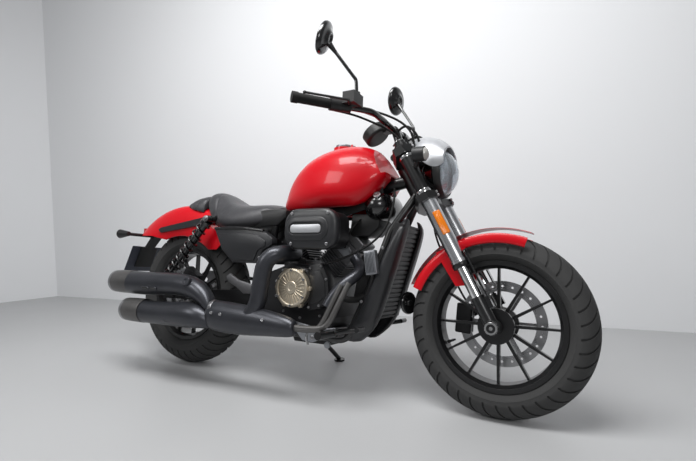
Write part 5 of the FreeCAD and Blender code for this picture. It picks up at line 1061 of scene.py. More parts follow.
@dataclass
class TreadedTyre:
    """A tyre with cut tread grooves, in its solid's form."""

    node: str
    body: Body
    axle: Vector
    radius: float
    half_width: float
    sidewall_drop: float
    rim_half_width: float
    pitches: int
    rim_seat: float = 0.203
    groove_depth: float = 0.0046
    groove_reach: float = 0.055
    slant: float = 1.35
    slant_reach: float = 0.075

    CROWN = (0.0, 0.09, 0.19, 0.30, 0.41, 0.52, 0.63, 0.74, 0.86)
    CELLS = (0.0, 0.17, 0.45, 0.73)

    def profile(self) -> list[tuple[float, float]]:
        """Gives half the section, from the crown to the bead, as distance across and radius."""
        half = []
        for share in self.CROWN:
            angle = share * math.pi / 2.0
            drop = self.half_width * (1.0 - math.cos(angle))
            half.append((self.half_width * math.sin(angle), self.radius - drop))
        low = self.radius - self.sidewall_drop
        bead = self.rim_seat + 0.015
        inner = self.rim_half_width - 0.0005
        return half + [
            (self.half_width * 0.995, low + (half[-1][1] - low) * 0.55),
            (self.half_width * 0.955, low),
            (self.half_width * 0.965, low - 0.003),
            (self.half_width * 0.93, low - 0.007),
            (self.rim_half_width + 0.011, bead + 0.006),
            (self.rim_half_width + 0.0052, bead + 0.0004),
            (inner, self.rim_seat + 0.010),
            (inner, self.rim_seat + 0.0004),
        ]

    def grooves(self, made: bpy.types.Object, low: float, high: float, cell: float) -> set[int]:
        """Picks the faces that sink into grooves.

        Args:
            made: the spun tyre about X.
            low: how far from the middle the grooves start.
            high: how far from it they end.
            cell: the angle that one face takes.

        Returns:
            The faces' numbers.
        """
        found = set()
        for face in made.data.polygons:
            place = face.center
            index = int((math.atan2(place.z, place.y) % math.tau) / cell)
            on_crown = math.hypot(place.y, place.z) > self.radius - self.groove_reach
            if index % len(self.CELLS) == 0 and low < abs(place.x) < high and on_crown:
                found.add(face.index)
        return found

    def build(self) -> None:
        """Spins the section, slants its grid and sinks the grooves."""
        half = self.profile()
        section = half + [(-across, height) for across, height in reversed(half[1:])]
        made = ring([(across, 0.0, height) for across, height in section])
        steps = self.pitches * len(self.CELLS)
        spin(made, steps, X_AXIS)
        cell = math.tau / steps
        shoulder = half[len(self.CROWN) - 1][0]
        grooved = self.grooves(made, half[1][0] * 0.4, shoulder * 1.01, cell)
        for vertex in made.data.vertices:
            reach = math.hypot(vertex.co.y, vertex.co.z)
            index = round((math.atan2(vertex.co.z, vertex.co.y) % math.tau) / cell) % steps
            pitch, within = divmod(index, len(self.CELLS))
            slanted = reach > self.radius - self.slant_reach
            share = abs(vertex.co.x) / self.half_width if slanted else 1.0
            turn = (pitch + self.CELLS[within] + self.slant * share) / self.pitches * math.tau
            vertex.co.y = reach * math.cos(turn)
            vertex.co.z = reach * math.sin(turn)
        choose(made, grooved)
        bpy.ops.mesh.extrude_region_shrink_fatten(
            TRANSFORM_OT_shrink_fatten={"value": -self.groove_depth}
        )
        leave()
        place = UPRIGHT @ Matrix.Translation(self.axle) @ Matrix.Rotation(math.pi / 2.0, 4, "Z")
        role = Role(self.body, Slot.TYRE, TYRE_RUBBER)
        tyre = settle(made, f"treaded_{self.node}", place, role, 30.0)
        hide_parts(self.node)


TYRES = (
    TreadedTyre(
        "front_tyre", Body.FRONT_WHEEL, FRONT_AXLE, radius=0.2988, half_width=0.060,
        sidewall_drop=0.062, rim_half_width=0.040, pitches=38,
    ),
    TreadedTyre(
        "rear_tyre", Body.REAR_WHEEL, REAR_AXLE, radius=0.3228, half_width=0.075,
        sidewall_drop=0.080, rim_half_width=0.052, pitches=40,
    ),
)


@dataclass
class WheelHardware:
    """The disc's bolts and the valve of one wheel."""

    name: str
    body: Body
    axle: Vector
    side: float
    disc_offset: float
    bolt_circle: float = 0.046
    bolt_radius: float = 0.0065
    valve_circle: float = 0.181
    valve_turn: float = 203.0

    def build(self) -> None:
        """Makes the bolts and the valve."""
        out = Vector((0.0, self.side, 0.0))
        places = around(self.axle + out * self.disc_offset, out, self.bolt_circle, 5, 18.0)
        steel = Role(self.body, Slot.STEEL, STEEL)
        repeat(screw(Head.DOME, self.bolt_radius), f"{self.name}_disc_bolt", places, steel)
        turn = math.radians(self.valve_turn)
        direction = Vector((-math.cos(turn), -0.55 * self.side, -math.sin(turn)))
        spot = self.axle + Vector((math.cos(turn), 0.0, math.sin(turn))) * self.valve_circle
        turned(f"{self.name}_valve_stem", [
            (0.0, -0.004), (0.0058, -0.004), (0.0058, 0.004), (0.0042, 0.007), (0.0042, 0.024),
            (0.0034, 0.025), (0.0034, 0.031), (0.0, 0.031),
        ], UPRIGHT @ aimed(spot, direction), Role(self.body, Slot.RUBBER, RUBBER), 16)


HARDWARE = (
    WheelHardware("front_wheel", Body.FRONT_WHEEL, FRONT_AXLE, side=1.0, disc_offset=0.0655),
    WheelHardware("rear_wheel", Body.REAR_WHEEL, REAR_AXLE, side=-1.0, disc_offset=0.0755),
)


@dataclass
class Headlight:
    """The headlamp: an open shell, a reflector, a bulb shield and a thin domed lens."""

    x: float = 1.224
    z: float = 0.826
    radius: float = 0.084
    back_radius: float = 0.046
    depth: float = 0.070
    rim_length: float = 0.016
    rim_step: float = 0.004
    edge: float = 0.006
    bulge: float = 0.046
    lens_wall: float = 0.0028
    dome_steps: int = 12
    bowl_steps: int = 10

    def dome(self, shrink: float) -> list[tuple[float, float]]:
        """Gives the lens's line from its edge to its crown, shrunk by a wall."""
        reach = self.radius - 0.002
        ball = (reach ** 2 + self.bulge ** 2) / (2.0 * self.bulge)
        base = self.edge + self.bulge - ball
        line = []
        for index in range(self.dome_steps + 1):
            angle = math.asin(reach / ball) * (1.0 - index / self.dome_steps)
            line.append(((ball - shrink) * math.sin(angle), base + (ball - shrink) * math.cos(angle)))
        return line

    def shell(self, place: Matrix, rim: float, inner: float) -> None:
        """Turns the open shell and the ring round the lens."""
        radius, back, depth = self.radius, self.back_radius, self.depth
        shell = turned("headlight_open_shell", [
            (0.0, -depth), (back * 0.8, -depth), (back, -depth * 0.9), (radius * 0.72, -depth * 0.66),
            (radius * 0.86, -depth * 0.45), (radius * 0.94, -depth * 0.33), (radius, -self.rim_length),
            (radius, -0.0125), (rim - 0.0012, -0.0118), (rim, -0.0095), (rim, -0.001), (rim - 0.0015, 0.0),
            (inner, 0.0), (inner, -0.008), (radius * 0.80, -depth * 0.42), (back * 0.92, -depth * 0.78),
            (back * 0.7, -depth * 0.92), (0.0, -depth * 0.92),
        ], place, STEERING_GLOSS, 64)
        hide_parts("headlight_shell")

    def build(self) -> None:
        """Makes the lamp's pieces."""
        place = UPRIGHT @ aimed((self.x, 0.0, self.z), X_AXIS)
        rim = self.radius + self.rim_step
        inner = self.radius - 0.006
        self.shell(place, rim, inner)
        skin = [*self.dome(0.0), *reversed(self.dome(self.lens_wall))]
        lens = turned("headlight_thin_lens", skin, place, STEERING_CLEAR, 64, ROUND)
        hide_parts("headlight_lens")
        low, high = 0.012, inner - 0.0012
        floor = self.depth * 0.74
        bowl = []
        for index in range(self.bowl_steps + 1):
            reach = low + (high - low) * index / self.bowl_steps
            bowl.append((reach, -floor + (floor - 0.003) * (reach / inner) ** 2.2))
        back = [(reach, height - 0.0012) for reach, height in reversed(bowl)]
        turned("headlight_reflector", [*bowl, *back], place, STEERING_CHROME, 72, 50.0)
        turned("headlight_bulb_shield", [
            (0.0, -0.056), (0.011, -0.056), (0.013, -0.046), (0.013, -0.026), (0.0225, -0.022),
            (0.0235, -0.010), (0.022, -0.004), (0.012, 0.000), (0.0, 0.001),
        ], place, STEERING_CHROME, 32, 50.0)
        lip = self.radius - 0.0035
        turned("headlight_rim_ring", [
            (rim + 0.0004, -0.014), (rim + 0.0034, -0.014), (rim + 0.0034, 0.004), (rim - 0.001, 0.010),
            (lip, 0.010), (lip, 0.006), (rim + 0.0004, 0.0),
        ], place, STEERING_PLASTIC, 64)


@dataclass
class Upholstery:
    """The rider's seat and the tail pad, blown up from their solids, with pulled-in seams."""

    voxel: float = 0.0055
    pressure: float = 4.0
    stiffness: float = 30.0
    frames: int = 20
    cap: float = 0.006
    seam_depth: float = 0.003
    fill: float = 0.8

    def swollen(self, node: str) -> bpy.types.Object:
        """Copies a solid, remeshes it, lets cloth pressure swell it and relaxes it.

        Args:
            node: the solid's node.

        Returns:
            The swollen piece.
        """
        clear_selection()
        made = bpy.data.objects.new(f"padded_{node}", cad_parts[node].data.copy())
        bpy.context.scene.collection.objects.link(made)
        bpy.context.view_layer.objects.active = made
        made.select_set(True)
        enter()
        weld()
        made.data.remesh_voxel_size = self.voxel
        bpy.ops.object.voxel_remesh()
        start = [vertex.co - vertex.normal * (self.cap * 0.5) for vertex in made.data.vertices]
        for vertex, point in zip(made.data.vertices, start):
            vertex.co = point
        bpy.ops.object.modifier_add(type="CLOTH")
        cloth = made.modifiers[-1]
        cloth.settings.use_pressure = True
        cloth.settings.uniform_pressure_force = self.pressure
        cloth.settings.effector_weights.gravity = 0.0
        cloth.settings.quality = 4
        cloth.settings.tension_stiffness = self.stiffness
        cloth.settings.compression_stiffness = self.stiffness
        cloth.collision_settings.use_collision = False
        for number in range(1, self.frames + 1):
            bpy.context.scene.frame_set(number)
        bpy.ops.object.modifier_apply(modifier=cloth.name)
        for vertex, point in zip(made.data.vertices, start):
            move = vertex.co - point
            if move.length > self.cap:
                vertex.co = point + move * (self.cap / move.length)
        bpy.context.scene.frame_set(1)
        return modify(made, "SMOOTH", factor=0.5, iterations=14)

    def pad(self, node: str, seams: Sequence[tuple[Vector, Vector]], width: float) -> None:
        """Makes one padded piece in place of its solid.

        Args:
            node: the solid's node.
            seams: a point and a normal of each seam's plane, in the upright machine.
            width: half the width of a seam's channel.
        """
        made = self.swollen(node)
        back = UPRIGHT.inverted()
        for vertex in made.data.vertices:
            place = back @ vertex.co
            for point, normal in seams:
                gap = abs((place - point).dot(normal))
                if gap < width * 3.0:
                    vertex.co -= vertex.normal * self.seam_depth * math.exp(-((gap / width) ** 2))
        smoothed(made)
        settle(made, f"padded_{node}", Matrix.Identity(4), CHASSIS_HIDE, 70.0)
        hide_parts(node)

    def build(self) -> None:
        """Makes both pads."""
        slant = Vector((0.92, 0.0, 0.39)).normalized()
        self.pad("rider_seat", [(mm(222, 0, 700), slant)], 0.0045)
        self.pad("tail_pad", [(mm(20, 0, 700), X_AXIS), (mm(70, 0, 700), X_AXIS)], 0.0035)


@dataclass(frozen=True)
class Muffler:
    """Where one muffler's tip and slots are, in millimetres."""

    name: str
    tip_x: float
    y: float
    z: float
    slot_x: float
    slot_z: float
    radius: float = 50.0
    slot_gap: float = 26.0

    def tip(self) -> Matrix:
        """Gives the place of the muffler's open end."""
        return UPRIGHT @ aimed(mm(self.tip_x, self.y, self.z), X_AXIS)

    def slots(self) -> list[Matrix]:
        """Gives the places of its two slots, on its round side."""
        tilt = math.asin((self.slot_z - self.z) / self.radius)
        normal = Vector((0.0, -math.cos(tilt), math.sin(tilt)))
        turn = Matrix((X_AXIS, normal.cross(X_AXIS), normal)).transposed().to_4x4()
        side = self.y - self.radius * math.cos(tilt)
        centres = [mm(self.slot_x + ahead, side, self.slot_z) for ahead in (-self.slot_gap, self.slot_gap)]
        return [UPRIGHT @ Matrix.Translation(centre) @ turn for centre in centres]


MUFFLERS = (
    Muffler("upper", -268.0, -232.0, 372.0, 13.0, 352.0),
    Muffler("lower", -154.0, -246.0, 251.0, 186.0, 230.0),
)


@dataclass
class Exhaust:
    """The collector, the pipes, both mufflers' tips and slots, and what holds them."""

    y: float = -236.0
    shield_radius: float = 0.033
    mouth: float = 0.047
    corners: int = 24

    STATIONS = (
        (340, 265, 50, 28), (348, 265, 56, 34), (376, 263, 61, 39), (430, 260, 62, 40), (500, 258, 60, 40),
        (570, 257, 55, 39), (640, 255, 48, 36), (700, 252, 42, 33), (742, 249, 36, 30), (758, 247, 28, 25),
        (764, 246, 22, 22),
    )

    def collector(self) -> None:
        """Lofts the collector from its stations: x, z, half its height and half its width."""
        turns = [math.tau * step / self.corners for step in range(self.corners)]
        rings = [
            [mm(x, self.y + wide * math.cos(turn), z + tall * math.sin(turn)) for turn in turns]
            for x, z, tall, wide in self.STATIONS
        ]
        sleeve = settle(smoothed(loft(rings)), "exhaust_collector_sleeve", UPRIGHT, CHASSIS_COAT, ROUND)
        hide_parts("exhaust_headers")

    def pipes(self) -> None:
        """Runs the front pipe, its two guard bars and the rear pipe's shield."""
        run("front_header_pipe", (
            (900, -66, 512), (926, -66, 486), (958, -120, 456), (930, -168, 420), (892, -196, 372),
            (876, -206, 330),
        ), 0.021, CHASSIS_COAT, 20)
        for name, shift in (("outer", 0.0), ("inner", 26.0)):
            run(f"header_{name}_guard_bar", (
                (926 + shift, -200 + shift * 0.2, 410 + shift * 0.3), (900 + shift, -214, 346),
                (868 + shift * 0.9, -228, 262), (836, -236, 246 + shift * 0.2),
                (756, -236, 246 + shift * 0.2),
            ), 0.0105, CHASSIS_TIP, 16)
        run("rear_pipe_shield", (
            (650, -100, 520), (664, -196, 520), (612, -236, 496), (596, -238, 400), (588, -238, 320),
            (540, -236, 262), (460, -236, 262),
        ), self.shield_radius, CHASSIS_COAT, 28)

    def tips(self) -> None:
        """Turns each muffler's bright tip, and a black cup in its mouth as painted shade for the dark inside
        of the pipe.
        """
        wall = self.mouth
        for muffler in MUFFLERS:
            turned(f"{muffler.name}_muffler_tip", [
                (wall - 0.006, -0.001), (wall - 0.003, -0.005), (wall + 0.0012, -0.005),
                (wall + 0.0036, -0.001), (wall + 0.0036, 0.016), (wall + 0.0022, 0.019),
                (wall - 0.002, 0.019), (wall - 0.006, 0.019),
            ], muffler.tip(), CHASSIS_STEEL, 56)
            # Painted shade: a black cup set just inside the mouth stands for the dark inside of the pipe.
            turned(f"{muffler.name}_muffler_baffle", [
                (0.0, 0.04), (wall - 0.0065, 0.04), (wall - 0.0065, 0.002), (wall - 0.010, 0.002),
                (wall - 0.016, 0.010), (wall - 0.016, 0.034), (0.0, 0.034),
            ], muffler.tip(), CHASSIS_BLACK, 48)

    def slots(self) -> None:
        """Sets two slots with raised lips in each muffler, each with a black floor as painted shade for the
        dark inside of the slot, and a sleeve behind its tip.
        """
        outer = oblong(0.046, 0.017, 0.0084, 6)
        inner = oblong(0.040, 0.011, 0.0054, 6)
        for muffler in MUFFLERS:
            places = muffler.slots()
            # Painted shade: each slot's black floor stands for the dark inside of the slot.
            repeat(slab(inner, -0.003, 0.0010, 0.0004), f"{muffler.name}_muffler_slot", places, CHASSIS_BLACK)
            lip = loft([
                [(x, y, -0.003) for x, y in outer],
                [(x, y, 0.0008) for x, y in outer],
                [(x * 0.985, y * 0.95, 0.0020) for x, y in outer],
                [(x * 1.01, y * 1.03, 0.0020) for x, y in inner],
                [(x, y, -0.003) for x, y in inner],
            ], capped=False)
            repeat(lip, f"{muffler.name}_muffler_slot_lip", places, CHASSIS_COAT)
            turned(f"{muffler.name}_muffler_tip_sleeve", [
                (0.0478, -0.001), (0.0496, -0.001), (0.0518, 0.030), (0.0524, 0.118), (0.0516, 0.121),
                (0.0492, 0.121),
            ], muffler.tip(), CHASSIS_TIP, 64)

    def fixings(self) -> None:
        """Adds the boss, the screws and the clamp."""
        turned("muffler_mount_boss", [
            (0.0, -0.012), (0.019, -0.012), (0.019, 0.004), (0.0175, 0.006), (0.0095, 0.006),
            (0.0085, 0.003), (0.0, 0.003),
        ], UPRIGHT @ aimed(mm(236, -272, 392), (0.0, -0.92, 0.38)), CHASSIS_COAT, 32)
        places = spots([(388, -273.5, 276), (436, -274.0, 274), (640, -268.5, 268)], (0.0, -0.9, 0.43))
        repeat(screw(Head.SOCKET, 0.0062), "collector_screw", places, CHASSIS_STEEL)
        clamp = lathe([
            (0.0285, -0.009), (0.0315, -0.009), (0.0322, -0.006), (0.0322, 0.006), (0.0315, 0.009),
            (0.0285, 0.009),
        ])
        repeat(clamp, "rear_pipe_clamp", spots([(366, self.y, 292)], X_AXIS), CHASSIS_STEEL)

    def build(self) -> None:
        """Makes the exhaust's pieces."""
        self.collector()
        self.pipes()
        self.tips()
        self.slots()
        self.fixings()


@dataclass
class Engine:
    """The covers' ribs and bolts, the pump's cover and the cylinder heads' bolts and panels."""

    ribs: int = 24
    head_top: float = 0.248
    head_middle: float = 0.21632
    head_side: float = 0.0595

    CLUTCH = mm(700, -186, 388)
    CRANK = mm(700, 0, 388)

    def clutch_cover(self) -> None:
        """Sets radial ribs, a rim, a hub and screws on the clutch cover."""
        rib = slab(
            [(0.024, -0.0009), (0.060, -0.0017), (0.060, 0.0017), (0.024, 0.0009)], -0.001, 0.0022, 0.0006
        )
        repeat(rib, "clutch_cover_rib", around(self.CLUTCH, RIGHT, 0.0, self.ribs), CHASSIS_BRONZE)
        middle = UPRIGHT @ aimed(self.CLUTCH, RIGHT)
        turned("clutch_cover_rim", [
            (0.0600, -0.001), (0.0602, 0.0018), (0.0620, 0.0030), (0.0690, 0.0030), (0.0712, 0.0014),
            (0.0712, -0.001),
        ], middle, CHASSIS_BRONZE, 72)
        turned("clutch_cover_hub", [
            (0.0, -0.001), (0.0250, -0.001), (0.0250, 0.0016), (0.0232, 0.0032), (0.0120, 0.0032),
            (0.0108, 0.0022), (0.0, 0.0022),
        ], middle, CHASSIS_BRONZE, 56)
        places = around(self.CLUTCH + RIGHT * 0.0026, RIGHT, 0.0655, 6, 30.0)
        repeat(screw(Head.SOCKET, 0.0050), "clutch_cover_screw", places, CHASSIS_STEEL)

    def pump_cover(self) -> None:
        """Adds the pump's cover ahead of the clutch."""
        shares = ((0.0, 0.95), (0.6, 1.0), (0.9, 0.7), (1.0, 0.26), (0.56, 0.06), (0.0, 0.0))
        corners = [(0.762 + 0.092 * across, 0.306 + 0.180 * up) for across, up in shares]
        middle = (0.806, 0.392)
        face = facing(-1.0)
        settle(slab(corners, 0.112, 0.163, 0.006), "pump_cover", face, CHASSIS_ENGINE)
        inset = slab(scaled(corners, middle, 0.7, 0.7), 0.160, 0.166, 0.003)
        settle(inset, "pump_cover_face", face, CHASSIS_ENGINE)
        places = [face @ Matrix.Translation((x, z, 0.163)) for x, z in scaled(corners, middle, 0.85, 0.85)]
        repeat(screw(Head.SOCKET, 0.0048), "pump_cover_screw", places, CHASSIS_STEEL)

    def case_bolts(self) -> None:
        """Sets the bolts round the engine case's right side."""
        edge = (
            (608, 452), (640, 488), (762, 500), (806, 470), (838, 330), (790, 286), (700, 272), (620, 292),
            (580, 350), (578, 408),
        )
        places = spots([(x, -117, z) for x, z in edge], RIGHT)
        repeat(screw(Head.SOCKET, 0.0052), "case_screw", places, CHASSIS_STEEL)

    def heads(self) -> None:
        """Adds the head bolts and a side panel with its screws to both cylinders."""
        for name, degrees, role in (("front", 44.0, CHASSIS_SILVER), ("rear", -31.0, CHASSIS_ENGINE)):
            angle = math.radians(degrees)
            axis = Vector((math.sin(angle), 0.0, math.cos(angle)))
            ahead = Vector((math.cos(angle), 0.0, -math.sin(angle)))
            turn = Matrix((ahead, LEFT, axis)).transposed().to_4x4()
            place = UPRIGHT @ Matrix.Translation(self.CRANK) @ turn
            places = [
                place @ Matrix.Translation((x, y, self.head_top))
                for x in (-0.044, 0.044)
                for y in (-0.046, 0.046)
            ]
            repeat(screw(Head.HEX, 0.0062), f"{name}_head_bolt", places, CHASSIS_STEEL)
            side = place @ Matrix.Translation((0.0, -self.head_side, self.head_middle)) @ STAND_UP
            panel = slab(oblong(0.072, 0.040, 0.010), 0.0, 0.0045, 0.0014)
            settle(panel, f"{name}_head_side_panel", side, role)
            places = [
                side @ Matrix.Translation((x, y, 0.0045)) for x in (-0.029, 0.029) for y in (-0.013, 0.013)
            ]
            repeat(screw(Head.SOCKET, 0.0040), f"{name}_head_panel_screw", places, CHASSIS_STEEL)

    def build(self) -> None:
        """Makes all of the engine's pieces."""
        self.clutch_cover()
        self.pump_cover()
        self.case_bolts()
        self.heads()


@dataclass
class AirCleaner:
    """The air cleaner's cover, with its raised band, its blank plate and its screws."""

    length: float = 0.232
    height: float = 0.152
    corner_steps: int = 8
    screw_x: float = 0.078
    screw_z: float = 0.056

    FACE = mm(788, -218, 608)
    LAYERS = (
        (0.002, 0.002, 0.056, -0.036), (0.0, 0.0, 0.058, -0.030), (0.0, 0.0, 0.058, -0.016),
        (0.008, 0.008, 0.056, -0.008), (0.024, 0.024, 0.050, -0.0035), (0.060, 0.056, 0.038, -0.0015),
        (0.120, 0.100, 0.020, -0.0008),
    )

    def cover(self, place: Matrix) -> None:
        """Lofts the cover from its layers: less length, less height, corner and height."""
        rings = []
        for short, low, corner, z in self.LAYERS:
            outline = oblong(self.length - short, self.height - low, corner, self.corner_steps)
            rings.append([(x, y, z) for x, y in outline])
        shell = settle(loft(rings), "air_cleaner_shell", place, CHASSIS_GREY, 50.0)
        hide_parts("air_cleaner_cover")

    def band(self, place: Matrix) -> None:
        """Lofts the raised band round the plate."""
        outer = oblong(0.186, 0.086, 0.040, self.corner_steps)
        middle = oblong(0.178, 0.078, 0.036, self.corner_steps)
        steps = (
            (outer, 1.0, 1.0, -0.006), (outer, 1.0, 1.0, 0.0005), (middle, 1.0, 1.0, 0.0035),
            (middle, 0.86, 0.62, 0.0035), (middle, 0.84, 0.58, 0.0005), (middle, 0.84, 0.58, -0.006),
        )
        rings = [[(x * wide - 0.010, y * tall, z) for x, y in outline] for outline, wide, tall, z in steps]
        settle(loft(rings, capped=False), "air_cleaner_raised_band", place, CHASSIS_GREY)

    def build(self) -> None:
        """Makes the cover and its trim."""
        place = UPRIGHT @ Matrix.Translation(self.FACE) @ STAND_UP
        self.cover(place)
        self.band(place)
        plate = slab(oblong(0.134, 0.030, 0.012), -0.003, 0.0020, 0.0007)
        behind = place @ Matrix.Translation((-0.014, 0.0, 0.0))
        settle(plate, "air_cleaner_blank_plate", behind, CHASSIS_ALLOY)
        places = [
            place @ Matrix.Translation((x, y, -0.003))
            for y in (self.screw_z, -self.screw_z)
            for x in (self.screw_x, -self.screw_x)
        ]
        repeat(screw(Head.DOME, 0.0062), "air_cleaner_screw", places, CHASSIS_STEEL)


@dataclass
class Shroud:
    """The radiator's shroud: a tapered shell in two cheeks that leaves the grille open."""

    x: float = 0.864
    span_x: float = 0.276
    z: float = 0.196
    span_z: float = 0.478
    half: float = 0.128
    inner: float = 0.066

    STATIONS = (
        (0.0, 0.27, 0.01, 0.66), (0.055, 0.39, 0.05, 0.82), (0.14, 0.53, 0.22, 0.93),
        (0.27, 0.625, 0.355, 1.0), (0.52, 0.76, 0.545, 1.0), (0.71, 0.86, 0.66, 0.985),
        (0.84, 0.925, 0.78, 0.93), (0.915, 0.945, 0.845, 0.8), (0.965, 0.905, 0.85, 0.5),
    )

    def cheek(self, turn: float) -> list[list[Vector]]:
        """Gives the rings of one cheek's skin, from low to high.

        Args:
            turn: -1 for the right cheek, or 1 for the left.

        Returns:
            One ring for each station: its height, front, back and width as shares.
        """
        rings = []
        for share, front, back, wide in self.STATIONS:
            ahead = self.x + front * self.span_x
            behind = self.x + back * self.span_x
            half = wide * self.half
            depth = ahead - behind
            inner = min(self.inner, half * 0.62)
            line = (
                (behind, half * 0.93), (behind + depth * 0.2, half), (behind + depth * 0.62, half * 0.995),
                (ahead - depth * 0.12, half * 0.93), (ahead - 0.003, half * 0.80), (ahead, inner + 0.004),
                (ahead - 0.004, inner), (ahead - 0.012, inner), (ahead - 0.016, inner + 0.008),
                (ahead - depth * 0.2, half * 0.80), (behind + depth * 0.5, half - 0.008),
                (behind + 0.002, half * 0.93 - 0.006),
            )
            rings.append([Vector((x, turn * y, self.z + share * self.span_z)) for x, y in line])
        return rings

    def build(self) -> None:
        """Makes both cheeks and the screws of the right one."""
        for name, turn in SIDES:
            cheek = smoothed(loft(self.cheek(turn)))
            settle(cheek, f"shroud_{name}_cheek", UPRIGHT, CHASSIS_GREY, 50.0)
            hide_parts("radiator_shroud")
        places = spots([(1004, -127.5, 452), (1046, -127.5, 545), (968, -127.5, 352)], RIGHT)
        repeat(screw(Head.DOME, 0.0055), "shroud_screw", places, CHASSIS_STEEL)


@dataclass(frozen=True)
class Lead:
    """One lead or hose: its name, its radius in metres and its line in millimetres."""

    name: str
    radius: float
    points: tuple[tuple[float, float, float], ...]


STEERING_LEADS = (
    Lead("throttle_cable", 0.0036, (
        (905, -262, 1030), (950, -215, 1034), (1010, -150, 1022), (1062, -92, 990), (1082, -62, 940),
        (1072, -46, 884),
    )),
    Lead("clutch_lever_cable", 0.0036, (
        (905, 262, 1030), (952, 214, 1036), (1012, 150, 1026), (1066, 88, 994), (1092, 52, 944),
        (1082, 34, 880),
    )),
    Lead("switch_lead", 0.0042, (
        (900, -250, 1024), (944, -205, 1020), (992, -150, 1004), (1050, -104, 978), (1096, -88, 930),
        (1098, -72, 866),
    )),
    Lead("front_brake_lead", 0.0044, (
        (896, -244, 1042), (952, -196, 1046), (1020, -130, 1040), (1090, -80, 1010), (1132, -62, 956),
        (1128, -56, 890),
    )),
    Lead("headlight_lead", 0.0046, (
        (1046, -58, 968), (1078, -64, 1000), (1112, -62, 996), (1142, -54, 958), (1148, -40, 915),
    )),
    Lead("headlight_harness", 0.0042, (
        (1052, 44, 968), (1084, 52, 996), (1116, 50, 988), (1142, 42, 952), (1150, 34, 915),
    )),
)
CHASSIS_LEADS = (
    Lead("clutch_cable_run", 0.0040, (
        (1052, -52, 770), (1074, -90, 706), (1040, -124, 580), (905, -136, 506), (812, -150, 480),
        (766, -148, 452),
    )),
    Lead("rear_plug_lead", 0.0036, ((640, -64, 585), (668, -84, 620), (720, -70, 668), (800, -40, 690))),
    Lead("front_plug_lead", 0.0036, ((858, -66, 548), (884, -92, 590), (906, -78, 640), (930, -40, 672))),
    Lead("coolant_hose", 0.0125, (
        (1002, -84, 392), (950, -104, 356), (902, -110, 352), (862, -104, 366), (842, -96, 382),
    )),
)
BRAKE_HOSE = Lead("front_brake_hose", 0.0040, (
    (-18, 60, 476), (-52, 64, 440), (-80, 78, 380), (-86, 80, 240), (-84, 78, 110), (-70, 70, 84),
))


def run_leads() -> None:
    """Runs the leads between the bar, the frame and the engine, and the hose down the fork."""
    for leads, role in ((STEERING_LEADS, STEERING_RUBBER), (CHASSIS_LEADS, CHASSIS_RUBBER)):
        for lead in leads:
            run(lead.name, lead.points, lead.radius, role)
    run(BRAKE_HOSE.name, BRAKE_HOSE.points, BRAKE_HOSE.radius, STEERING_RUBBER, base=FORK)


@dataclass
class ForkTrim:
    """Rings, seals, caps, pinch bolts and the amber side reflectors on the fork."""

    spacing: float = 0.100
    rings: tuple[float, ...] = (0.500, 0.646)
    pinches: tuple[float, ...] = (0.471, 0.484, 0.664, 0.677)
    seal: float = 0.2195
    cap: float = 0.711
    reflector: float = 0.372

    def leg(self, name: str, side: float) -> None:
        """Dresses one leg.

        Args:
            name: the side's name.
            side: -1 for the right leg, or 1 for the left.
        """

        def up(height: float) -> Matrix:
            """Gives a place on the leg's axis, at a height above the axle."""
            return FORK @ Matrix.Translation((0.0, side * self.spacing, height))

        ringed = lathe([
            (0.0255, -0.006), (0.0272, -0.006), (0.0278, -0.003), (0.0278, 0.003), (0.0272, 0.006),
            (0.0255, 0.006),
        ])
        repeat(ringed, f"{name}_fork_ring", [up(height) for height in self.rings], STEERING_CHROME)
        turned(f"{name}_fork_dust_seal", [
            (0.0192, -0.010), (0.0262, -0.010), (0.0290, -0.006), (0.0290, 0.006), (0.0270, 0.010),
            (0.0235, 0.012), (0.0192, 0.012),
        ], up(self.seal), STEERING_BLACK)
        turned(f"{name}_fork_cap_bolt", [
            (0.0, -0.002), (0.0180, -0.002), (0.0180, 0.004), (0.0165, 0.0055), (0.0110, 0.0055),
            (0.0110, 0.0095), (0.0095, 0.0105), (0.0, 0.0105),
        ], up(self.cap), STEERING_CHROME, 32)
        ahead = aimed((0.0365, -side * 0.010, 0.0), X_AXIS)
        places = [up(height) @ ahead for height in self.pinches]
        repeat(screw(Head.SOCKET, 0.0050), f"{name}_clamp_bolt", places, STEERING_STEEL)
        normal = Vector((0.42, side * 0.9, 0.0)).normalized()
        turn = Matrix((Z_AXIS.cross(normal), Z_AXIS, normal)).transposed().to_4x4()
        place = up(self.reflector) @ Matrix.Translation(normal * 0.0265) @ turn
        lens = slab(oblong(0.026, 0.086, 0.004), -0.005, 0.0050, 0.0014)
        settle(lens, f"{name}_side_reflector", place, STEERING_AMBER)

    def build(self) -> None:
        """Dresses both legs and caps the axle."""
        for name, side in SIDES:
            self.leg(name, side)
        turned("front_axle_cap", [
            (0.0, -0.004), (0.0210, -0.004), (0.0210, 0.003), (0.0190, 0.006), (0.0120, 0.006),
            (0.0105, 0.002), (0.0, 0.002),
        ], FORK @ aimed((0.0, -0.1275, 0.0), RIGHT), STEERING_CHROME, 36)


